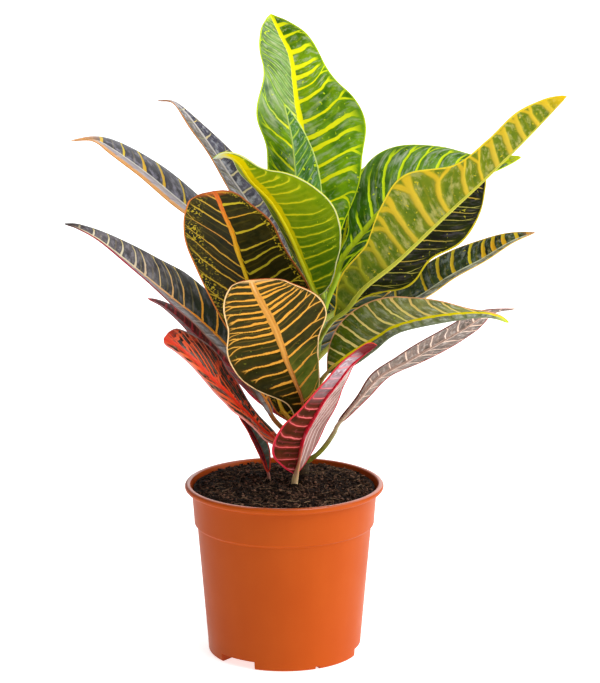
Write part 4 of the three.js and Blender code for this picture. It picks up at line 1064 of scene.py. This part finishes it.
# %% Looks of the leaves
LEAF_LOOKS = {
    # The left half of this leaf turns greyer towards the tip, as painted sheen where it catches the light.
    "leaf_crown_back": dict(
        veins=([14, 28, 41, 52, 68, 79, 92, 99, 104, 109, 114, 120, 127, 134, 141, 149], [14, 26, 38, 52,
        61, 72, 79, 89, 102, 109, 116, 122, 131, 141, 149]), rise=([0.4, 0.45, 0.45, 0.9, 1.1], -0.2),
        hook=(3, -5), rib_width=[2.4, 3, 3.4, 3.5, 3.4, 3.2, 2.8, 2],
        upper=dict(
            far=(0.55, 0.68), panel="#76a00a", far_panel=("#84a058", "#74980a"), deep="#467406",
            far_deep=("#48643c", "#3c680a"), far_vein=("#a8bc74", "#f2ec08"),
            far_vein_other=("#90a870", "#e6e616"), vein_width=(2.9, 3.0), far_vein_width=(0.8, 2.8),
            taper=0.4, reach=(0.9, 0.92), uneven=0.6, fork=0.7, opening=1.0, streak_and_sheen="#acb890",
            streaks_and_sheen=(0.6, 0.55), far_streaks_and_sheen=(0.9, 0.7),
        ),
        under=GREEN_UNDER, stalk="#b4c43c",
    ),
    "leaf_crown_inner": dict(
        spacing=8, rise=(0.6, 0.6), rib_width=[1.6, 1.4, 1, 0.8],
        upper=dict(
            panel="#5c8c38", deep="#386424", halo="#6c9c3c", vein="#c4d84c", vein_other="#b0cc50",
            vein_end="#98bc50", rib="#dce48c", margin="#c4d870", streak_and_sheen="#a4b8a4", streaks_and_sheen=0.8,
            vein_width=1.0,
        ),
        under=GREEN_UNDER, stalk="#a8bc40",
    ),
    # The underside of this leaf and its rib are painted darker towards the base, as painted shade from the
    # leaves above it.
    "leaf_lime_front": dict(
        veins=([8, 15, 23.6, 32.4, 41, 49, 56, 66, 75, 82, 87, 91, 96, 103, 109, 116], [10, 20, 30, 40,
        50, 60, 70, 80, 90, 100, 110]), rise=([-0.1, -0.3, -0.85, -1.05, -0.8, -0.3], 0.3), hook=(2, 2),
        rib_width=[3, 4.5, 5.2, 6, 6.8, 7, 4.5], upper=LIME_UPPER,
        under=dict(
            LIME_UNDER, far=(0.2, 0.6), panel="#587c08", far_panel="#94a80c", deep="#446c0a",
            far_deep="#76980a", rib="#c0c014", far_rib="#ecd800", tip="#c8d0c0", tip_start=0.93,
        ),
        stalk="#a8b820",
    ),
    "leaf_upper_right": dict(
        veins=([9, 20, 30, 41.5, 52.5, 63, 74, 88.5, 101, 113, 124], [9, 20, 30, 41, 52, 63, 74, 88, 101,
        113, 124]), rise=([0.5, 0.4, 0.3, 0.1, 0, -0.1], 0.3), hook=(2, 0),
        rib_width=[4.6, 4.4, 3.6, 2.4, 1.4],
        upper=dict(
            far=(0.3, 0.6), panel="#3c6804", far_panel="#6c9434", deep="#264804", far_deep="#44681c",
            vein="#c8e214", vein_other="#d6e416", rib="#b4c41c", streak_and_sheen="#acb89c", streaks_and_sheen=0.35,
            far_streaks_and_sheen=0.9, vein_width=2.7, taper=0.35, opening=1.0, reach=(0.66, 0.95),
            far_reach=(0.95, 0.95), flecks=0.72, tip="#d0dc20", tip_start=0.93,
        ),
        under=dict(GREEN_UNDER, rib="#a8bc34"),
        stalk="#a4bc28",
    ),
    "leaf_long_right": dict(
        veins=([12, 24, 36, 48, 60, 72, 84, 98, 112, 126, 138, 149, 160, 171, 182], [10, 22, 33, 47, 62,
        72, 86, 98, 114, 126, 138, 149, 160, 171, 182]), rise=(0.3, [-0.3, -0.3, -0.25, 0, 0.1, 0]),
        hook=(0, -3), quilt=0.9, rib_width=[1.6, 1.2, 1, 0.9, 0.8], upper=LIME_UPPER,
        under=dict(
            shine=0.08, far=(0.15, 0.4), panel="#566c0a", far_panel="#728014", deep="#445c08",
            far_deep="#546c12", halo="#8c8c18", vein="#848c18", far_vein="#d4b42c", vein_other="#748018",
            far_vein_other="#c4ac38", vein_end="#94941c", far_vein_end="#ccac20", rib="#dcd850",
            margin="#e2c62c", tip="#e0b810", fleck="#c0b020", streak_and_sheen="#bcb468", far_streaks_and_sheen=0.75,
            vein_width=2.0, soft=1.4, taper=-0.2, fork=0.6, opening=0.9, reach=1.05, uneven=0.75,
            halo_width=4.0, margin_width=0.7, tip_start=0.93, flecks=0.67, rough=0.45,
        ),
        stalk="#a8b830",
    ),
    "leaf_dark_right": dict(
        veins=([10, 20, 31, 41, 52, 60, 69, 79, 87, 95, 104, 112], [10, 20, 31, 41, 52, 60, 69.5, 79,
        86.5, 92, 101, 110]), rise=(0.3, 0.4), hook=(0, 2), rib_width=[2, 1.6, 1.2],
        upper=dict(
            DARK_UPPER, panel="#29310f", deep="#1c1a14", halo="#34400f", vein="#d8cc6c",
            vein_other="#dca42c", vein_end="#a8a050", vein_width=0.9, margin="#d8c428", margin_width=0.7,
            streak_and_sheen="#6c6470", streaks_and_sheen=0.4,
        ),
        under=DARK_UNDER, stalk="#8a9434",
    ),
    "leaf_mid_right": dict(
        veins=([9, 20, 32, 52, 62.5, 71.5, 83, 92.5, 99.5, 107, 115], [9, 20, 32, 52, 62, 72, 83, 92, 100,
        107, 115]), rise=([-0.3, -0.3, -0.25, -0.2, -0.1, 0], 0), rib_width=[2.2, 1.6, 1.2, 1],
        upper=dict(
            DARK_UPPER, far=(0.4, 0.6), vein_width=(1.6, 0.6), far_vein_width=(3.2, 0.6), taper=0.2,
            vein="#dcd428", vein_other="#f09a20", uneven=0.6, fork=0.85, reach=1.15, rib="#d8dcc0",
            streak_and_sheen=("#8c9494", "#e0e4d8"), streaks_and_sheen=(0.7, 0.9), panel=("#40522c", "#a0a490"),
            margin="#d8b03c", tip="#c8803c", tip_start=0.94,
        ),
        under=DARK_UNDER, stalk="#9a9a3c",
    ),
    "leaf_low_right": dict(
        veins=([8, 18, 29, 36.5, 47, 58.7, 68, 74, 83, 93.5, 101, 110], [8, 18, 29, 37, 47, 59, 68, 74,
        83, 93, 101, 110]), rise=([-1.0, -1.3, -1.7, -2.0, -2.3, -2.0], 0),
        rib_width=[1.6, 2, 2.6, 2.8, 2.6, 2.2, 1.6],
        upper=dict(
            far=(0.2, 0.5), panel=("#56680c", "#4a5a20"), far_panel=("#989c5c", "#98a084"),
            deep=("#445c14", "#2c3a18"), far_deep=("#707448", "#5c6450"), halo="#6c701c",
            vein=("#f4ec8c", "#6c7850"), vein_other=("#f4d078", "#6c7850"),
            vein_end=("#ecc878", "#6c7850"), rib="#f0dc10", margin=("#e8a878", "#7c8468"), tip="#c0cc18",
            streak_and_sheen=("#c8ccb0", "#d4d8cc"), streaks_and_sheen=0.15, far_streaks_and_sheen=(0.8, 0.8), vein_width=2.6,
            uneven=0.6, fork=0.8, reach=1.05, margin_width=0.8, tip_start=0.93, flecks=0.72,
        ),
        under=DARK_UNDER, stalk="#a4a830",
    ),
    "leaf_curled_right": dict(
        spacing=9.5, rib_width=[1.8, 1.6, 1.4, 1.2], quilt=0.6,
        upper=dict(DARK_UPPER, panel="#38402a", deep="#2c2824", vein="#e0b090", margin="#8a3c28"),
        under=dict(
            shine=0.08, far=(0.3, 0.55), panel="#96847a", far_panel="#7c6a60", deep="#665e54",
            far_deep="#504840", halo="#88746c", vein="#ead8c8", vein_other="#e0c0a8", vein_end="#dcb8a0",
            rib="#d4b8a8", margin=("#984840", "#4e2c22"), tip="#6a625c", fleck="#b09488",
            streak_and_sheen="#b4a8a0", streaks_and_sheen=0.8, vein_width=0.8, soft=0.3, fork=0.75, reach=1.05,
            margin_width=0.8, rough=0.45, tip_start=0.95,
        ),
        stalk="#8a8c30", blush="#5a4a2c",
    ),
    "leaf_red_front": dict(
        veins=([0, 14, 28, 42, 56, 70, 84, 98], [4, 12, 21.2, 28, 38, 45, 53, 62, 71, 80, 90, 100]),
        rise=(3.5, [-0.2, -0.35, -0.65, -0.85, -0.8, -0.7]), hook=(0, 2),
        rib_width=[2.2, 2.2, 2.2, 2, 1.4], quilt=0.5,
        upper=dict(RED_UPPER, panel="#4a1c20", deep="#2c1416"),
        under=dict(
            RED_UNDER, far=(0.5, 0.78), panel=("#a87c74", "#5c2414"), deep=("#8c645c", "#3c1e0e"),
            far_panel=("#b09890", "#b49ca4"), far_deep=("#7c685c", "#8c747c"),
            halo=("#c09c94", "#8c3028"), far_halo=("#c09c98", "#c49ca8"), vein=("#e8d4cc", "#e8605c"),
            vein_other=("#e0c4bc", "#e47c7c"), vein_end=("#d0b0a8", "#c84c54"),
            far_vein=("#dcc4c0", "#dcb4bc"), vein_width=(3.0, 1.0), rib="#c8182c", margin="#c4283c",
            margin_width=(0.8, 1.2), streak_and_sheen=("#c0a49c", "#4c3820"), far_streak_and_sheen=("#e8e0dc", "#ece0e4"),
            streaks_and_sheen=(0.8, 0.3), far_streaks_and_sheen=(0.8, 0.8), fork=0.85, reach=1.1, tip_start=0.86,
            tip="#641014", threads=0.2,
        ),
        stalk="#dcc088", blush="#d0788c",
    ),
    "leaf_olive_front": dict(
        veins=([10, 22, 34, 46.6, 61.5, 72.5, 84.5, 92.8, 102.3, 108, 112.5, 121, 125, 131, 137], [10, 22,
        32, 41.6, 52, 61, 71.2, 81, 87.3, 92.5, 98, 103.5, 108.5, 116, 121, 128, 134.5]),
        rise=(0.1, [-0.4, -0.5, -0.65, -0.7, -0.3, 0]), hook=(0, -4),
        rib_width=[1.8, 2, 2.6, 3.4, 4.2, 4.2, 3.4], quilt=0.7, upper=OLIVE_UPPER,
        under=dict(
            shine=0.08, far=(0.2, 0.5), panel=("#768430", "#2e2808"), far_panel="#36320c",
            deep=("#50641c", "#222006"), far_deep="#262608", halo=("#646020", "#4c340c"),
            far_halo="#5c3e0e", vein="#eaa83c", vein_other="#dc9834", vein_end="#d8a040", rib="#a8602a",
            far_rib="#d09440", margin="#f0c88c", tip="#f0c080", fleck="#6a6a20", streak_and_sheen="#4c4a20",
            vein_width=(2.4, 2.1), taper=0.7, opening=1.2, reach=(0.85, 0.6), far_reach=(1.0, 1.0),
            margin_width=0.6, rough=0.42, flecks=0.7, threads=0.1,
        ),
        stalk="#a8682c", blush="#c88c44",
    ),
    "leaf_brown_front": dict(
        veins=([20, 34, 48, 60, 70, 79, 88, 97, 107, 115, 123.7, 137.3, 150, 160], [20, 34, 48, 60, 73,
        84, 95, 103.2, 112, 126.6, 142, 153, 163]), rise=(-0.25, [0.3, 0.3, 0.3, 0.5, 0.85, 1.0]),
        hook=(-4, 0), rib_width=[2.2, 2.2, 2.2, 2.3, 2.6, 2.4], quilt=0.6, upper=OLIVE_UPPER,
        under=dict(
            shine=0.08, far=(0.65, 0.95), panel="#322c0c", deep="#1a1c08", halo=("#40380c", "#4c3c10"),
            vein=("#c4b030", "#dca03c"), vein_other=("#b4a824", "#ccac34"),
            vein_end=("#bca828", "#b8a028"), far_vein=("#d87830", "#d89048"), rib="#dcb81c",
            far_rib="#dc6c24", margin=("#8c5024", "#d07830"), tip="#c8642c", fleck="#b49c24",
            streak_and_sheen="#4c4824", vein_width=(1.4, 1.3), fork=0.75, opening=1.0, reach=0.95, flecks=0.56,
            fleck_size=1.3, margin_width=0.7, fleck_reach=(4.0, 12.0), threads=0.05, rough=0.42,
        ),
        stalk="#d8a030", blush="#dcb02c",
    ),
    # On the three leaves at the upper left, the grey lilac of the upper faces is partly their own bronze
    # colour and partly painted sheen, the pale sky that their upturned faces reflect.
    "leaf_upper_left": dict(
        veins=([12, 24, 34, 44, 54, 66, 78, 90, 105, 117, 127], [12, 24, 34, 44, 54, 65.5, 78, 90, 105,
        117, 127]), rise=(0, -0.4), rib_width=[2, 1.8, 1.5, 1.2],
        upper=dict(
            DARK_UPPER, panel=("#80746c", "#666274"), deep=("#5c5450", "#3e3c4a"), halo="#5c5858",
            flecks=0.8, vein=("#a09c7c", "#e6c878"), vein_other=("#8c8c70", "#e0d8c0"),
            vein_end="#b8b4a0", rib="#d4ccc8", margin=("#d8903c", "#8c8478"), tip="#a0602c",
            tip_start=0.92, streak_and_sheen="#b8b8c4", streaks_and_sheen=0.9, vein_width=1.1,
        ),
        under=DARK_UNDER, stalk="#7a8438",
    ),
    "leaf_mid_left": dict(
        veins=([20, 35, 50, 64, 79, 95, 110, 125, 140, 152], [20, 35, 50, 64, 78.3, 95, 110, 125.5, 141,
        152]), rise=(0, 0.15), rib_width=[2.2, 2, 1.8, 1.5, 1.2],
        upper=dict(
            DARK_UPPER, flecks=0.8, panel=("#90848c", "#4c4a50"), deep=("#746870", "#323038"),
            halo=("#948490", "#4c4c3c"), vein=("#b8b090", "#e0cc3c"), vein_other=("#b8b090", "#eca020"),
            vein_end=("#b8b090", "#d8c050"), rib="#ccc8c0", margin=("#c8841c", "#4a5444"),
            margin_width=(4.5, 0.6), tip="#d88c28", tip_start=0.89, streak_and_sheen=("#c8bcb4", "#9490a0"),
            streaks_and_sheen=(0.35, 0.75), vein_width=(0.5, 2.8), taper=0.2, uneven=0.7, fork=0.9, reach=1.1,
        ),
        under=DARK_UNDER, stalk="#7a8438",
    ),
    "leaf_long_left": dict(
        veins=([10, 21, 31, 41, 51, 62, 74, 88, 97, 106, 118, 126, 137, 147, 157, 166], [10, 21, 31, 41,
        51, 62, 73.5, 88, 96.5, 106, 118.5, 125.5, 136.5, 147, 157, 166]), rise=(0, -0.1), hook=(0, 2),
        rib_width=[3.2, 3.2, 2.8, 2, 1.4, 1],
        upper=dict(
            DARK_UPPER, flecks=0.8, far=(0.45, 0.75), panel=("#5c5450", "#272e20"),
            far_panel=("#9c9098", "#6a6468"), deep=("#4c4444", "#151a15"),
            far_deep=("#7c707c", "#3e3a3e"), halo=("#7c6c70", "#3c3c1c"), far_halo=("#8c8088", "#5c6058"),
            vein=("#b0a8a0", "#e0a030"), far_vein=("#b0a8a0", "#d8cca8"),
            vein_other=("#b0a8a0", "#e08c28"), far_vein_other=("#b0a8a0", "#c8bca8"),
            vein_end=("#b0a8a0", "#c8b060"), rib="#e08820", far_rib="#dccca8",
            margin=("#6c4030", "#6c6c68"), far_margin=("#982430", "#6c6c68"), margin_width=(1.6, 0.5),
            tip="#3a2c28", tip_start=0.92, streak_and_sheen=("#b8acb4", "#8c8890"), streaks_and_sheen=0.22, far_streaks_and_sheen=0.85,
            vein_width=(0.5, 1.7), far_vein_width=(0.5, 1.3), reach=1.05, fork=0.85,
        ),
        under=RED_UNDER, stalk="#a8803a",
    ),
    "leaf_wine_left": dict(
        spacing=7, rib_width=[1.8, 1.4, 1],
        upper=dict(
            RED_UPPER, panel="#5c1822", deep="#3a1418", vein="#96242c", vein_other="#a83038",
            rib="#8a1c28", margin="#8a1c28",
        ),
        under=dict(RED_UNDER, panel="#641824", deep="#481420", streak_and_sheen="#b07c80"),
        stalk="#7a2c30",
    ),
    "leaf_red_left": dict(
        spacing=(10, 11), jitter=0.5, rise=(1.9, 3.2), rib_width=[3, 3.5, 4, 4, 3.5, 3], quilt=0.5,
        upper=dict(
            RED_UPPER, far=(0.45, 0.75), panel=("#2c2410", "#1c2410"), far_panel=("#3c2c18", "#4c2a1c"),
            deep="#12160c", far_deep="#241810", halo="#a03418", vein="#e4461c", vein_other="#ec642c",
            far_vein="#ee5638", vein_end="#d8684a", far_vein_end="#dc8c6c", rib="#d83014",
            far_rib="#e84830", tip="#e84a34", tip_start=0.94, margin=("#dc8c84", "#b0a498"),
            margin_width=0.9, streak_and_sheen=("#e0a890", "#948c7c"), streaks_and_sheen=(0.5, 0.55), reach=1.2,
            vein_width=(6.6, 3.0), far_vein_width=(7.6, 4.8), taper=0.4, uneven=0.75, soft=0.7,
            halo_width=1.2, fleck="#e65a34", flecks=0.54, fleck_size=3.4,
        ),
        under=RED_UNDER, stalk="#8a3a34", blush="#c85a40",
    ),
    "leaf_basal_left": dict(
        spacing=5, rib_width=[1.4, 1.2, 0.8],
        upper=dict(
            RED_UPPER, panel=("#8a2a38", "#6c7c70"), deep=("#6a1c28", "#48523c"),
            vein=("#a83040", "#7c8c80"), vein_other=("#983040", "#6c7c70"),
            vein_end=("#a83040", "#7c8c80"), halo=("#8a2a38", "#6c7c70"), vein_width=0.6,
        ),
        under=RED_UNDER, stalk="#b09a80", blush="#8a3a3c",
    ),
    "leaf_back_upper": dict(
        spacing=9, rib_width=[2.4, 2, 1.4],
        upper=dict(panel="#35701c", deep="#1c4816"),
        under=GREEN_UNDER, stalk="#a0b034",
    ),
    "leaf_back_left": dict(
        spacing=9, rib_width=[2.6, 2.4, 2, 1.2],
        upper=dict(vein="#e8d820", vein_other="#e6b828"),
        under=GREEN_UNDER, stalk="#a0b034",
    ),
    "leaf_back_right": dict(
        spacing=9, rib_width=[2.6, 2.4, 2, 1.2],
        upper=dict(DARK_UPPER, panel="#34521f", deep="#1c2c14", rib="#e2cc30"),
        under=DARK_UNDER, stalk="#9a9a38",
    ),
    "leaf_back_middle": dict(
        spacing=9, rib_width=[2.6, 2.4, 2, 1.2], upper=OLIVE_UPPER, under=DARK_UNDER,
        stalk="#a87c38",
    ),
    "leaf_back_low": dict(
        spacing=8.5, rib_width=[2.6, 2.4, 2, 1.2],
        upper=dict(RED_UPPER, panel="#33301a", deep="#1c1c12", vein="#e4602c"),
        under=RED_UNDER, stalk="#9a5038",
    ),
}
assert set(LEAF_LOOKS) == set(LEAF_SHAPES)
print("looks:", len(LEAF_LOOKS))

# %% [markdown]
# ## Make the leaves
# The blade starts as a plane grid. Its corners go to the leaf surface, the strips between the side veins
# are puffed up a little as on the living leaf, and a Solidify modifier gives the half millimetre of
# thickness and hands the underside its own material. A rolled grid makes the stalk, which comes out of
# the stem and runs on under the blade as its midrib.

# %% Leaf builder
BLADE_ACROSS, BLADE_ALONG = 36, 140
RIB_SIDES, RIB_STEPS = 14, 110
VEINS_SUNK, VEINS_RAISED = -0.5, 1.0  # how far the veins stand out of the upper and the under side


def vein_marks(shape, look, half):
    """Where the side veins of one half leave the midrib, in millimetres from the base of the blade."""
    if "veins" in look:
        return np.array(look["veins"][half], dtype=float)
    spacing = np.broadcast_to(look["spacing"], 2)[half]
    even = np.arange(0.35 + 0.3 * half, shape.blade_length / spacing)
    seed = sum(map(ord, shape.name)) % 17
    jitter = look.get("jitter", 0.2)
    shifts = jitter * (np.sin(2.1 * even + seed + 2 * half) + np.sin(4.7 * even + 2 * seed))
    return (even + 0.6 * shifts) * spacing


def vein_count(shape, look, S, V, width):
    """Rises by one from side vein to side vein, with a vein at each half. Also the space between two."""
    count, space = np.zeros_like(S), np.ones_like(S)
    for half, chosen in enumerate((V < 0, V >= 0)):
        marks = vein_marks(shape, look, half)
        first, last = marks[1] - marks[0], marks[-1] - marks[-2]
        marks = np.concatenate([marks[0] - first * np.arange(9, 0, -1), marks,
                                marks[-1] + last * np.arange(1, 10)])
        rise = blend(np.atleast_1d(look.get("rise", (0, 0))[half]), S[chosen])
        along = S[chosen] * shape.blade_length - rise * (width * np.abs(V))[chosen]
        along -= look.get("hook", (0, 0))[half] * np.clip((np.abs(V[chosen]) - 0.65) / 0.35, 0, 1) ** 2
        count[chosen] = np.interp(along, marks, np.arange(len(marks)) + 0.5)
        middles = (marks[1:] + marks[:-1]) / 2
        space[chosen] = np.interp(along, middles, np.diff(marks))
    return count, space


def blade_sheet(shape, look):
    piece, a, S = new_grid(shape.name + "_blade", BLADE_ACROSS, BLADE_ALONG)
    V = 2 * a - 1
    V = np.sign(V) * np.abs(V) ** 0.9
    V[np.abs(V) < 1e-6] = 0
    point, up, margin_away, rib_away, q = shape.place(S, V)
    veins, space = vein_count(shape, look, S, V, margin_away + rib_away)
    gap = np.abs(veins - np.floor(veins) - 0.5) * space
    inner = smoothstep(0.02, 0.15, np.abs(V)) * smoothstep(1.0, 0.75, np.abs(V)) * smoothstep(0, 0.08, S)
    wide_enough = np.clip((margin_away + rib_away) / 15, 0, 1)
    sunk = look.get("quilt", 0.45) * np.exp(-((gap / 1.3) ** 2)) * inner * wide_enough
    move_corners(piece, point - up * sunk[:, None])
    band = np.maximum(blend(look["rib_width"], q) / 2, 0.2)
    paint_uv(piece, "veins", veins, V)
    paint_uv(piece, "span", margin_away, rib_away / band)
    paint_uv(piece, "run", q, np.abs(V))
    paint_uv(piece, "step", space, S)
    return piece


def rib_tube(shape, look):
    piece, share, turn, ends = tube_grid(shape.name + "_rib", RIB_SIDES, RIB_STEPS)
    share = 0.99 * share
    q = np.clip((share - shape.stalk) / (1 - shape.stalk), 0, 1)
    middle, up, right = shape.frame(share, q)
    radius = shape.stalk_radius
    on_blade = smoothstep(shape.stalk * 0.7, shape.stalk + 0.08, share)
    foot = 1 + 0.3 * np.exp(-((share * shape.line.length / 7) ** 2))
    half = np.minimum(blend(look["rib_width"], q) * 0.42, 1.5)
    half = radius * foot * (1 - on_blade) + on_blade * half * (1 - 0.6 * q)
    high = radius * foot * (1 - on_blade) + on_blade * (0.85 * radius * (1 - q) + 0.22)
    closing = np.where(ends, 0.001, 1)
    centre = middle - up * (on_blade * (0.72 * high + 0.12))[:, None]
    sideways = right * (half * np.cos(turn) * closing)[:, None]
    move_corners(piece, centre + (sideways - up * (high * np.sin(turn) * closing)[:, None]))
    for layer in ("veins", "span", "step", "run"):
        paint_uv(piece, layer, share, turn / (2 * math.pi))
    merge_doubles(piece, 0.0000005)
    return piece


def make_leaf(name):
    shape, look = LeafShape(name), LEAF_LOOKS[name]
    short = name.removeprefix("leaf_")
    blade = blade_sheet(shape, look)
    blade.data.materials.append(leaf_face("leaf_wax_" + short, look["upper"], VEINS_SUNK))
    blade.data.materials.append(leaf_face("leaf_underside_" + short, look["under"], VEINS_RAISED))
    blade.data.materials.append(leaf_rib("leaf_stalk_" + short, look, shape.stalk))
    only(blade)
    solid = blade.modifiers.new("thickness", "SOLIDIFY")
    solid.thickness, solid.offset, solid.material_offset = BLADE_THICKNESS * MM, 0, 1
    bpy.ops.object.modifier_apply(modifier=solid.name)
    tube = rib_tube(shape, look)
    for material in blade.data.materials:
        tube.data.materials.append(material)
    tube.data.polygons.foreach_set("material_index", [2] * len(tube.data.polygons))
    only(blade, tube)
    bpy.ops.object.join()
    blade.name = blade.data.name = short + "_leaf"
    finish_piece(blade, name, smooth=60)


for leaf_name in LEAF_SHAPES:
    make_leaf(leaf_name)
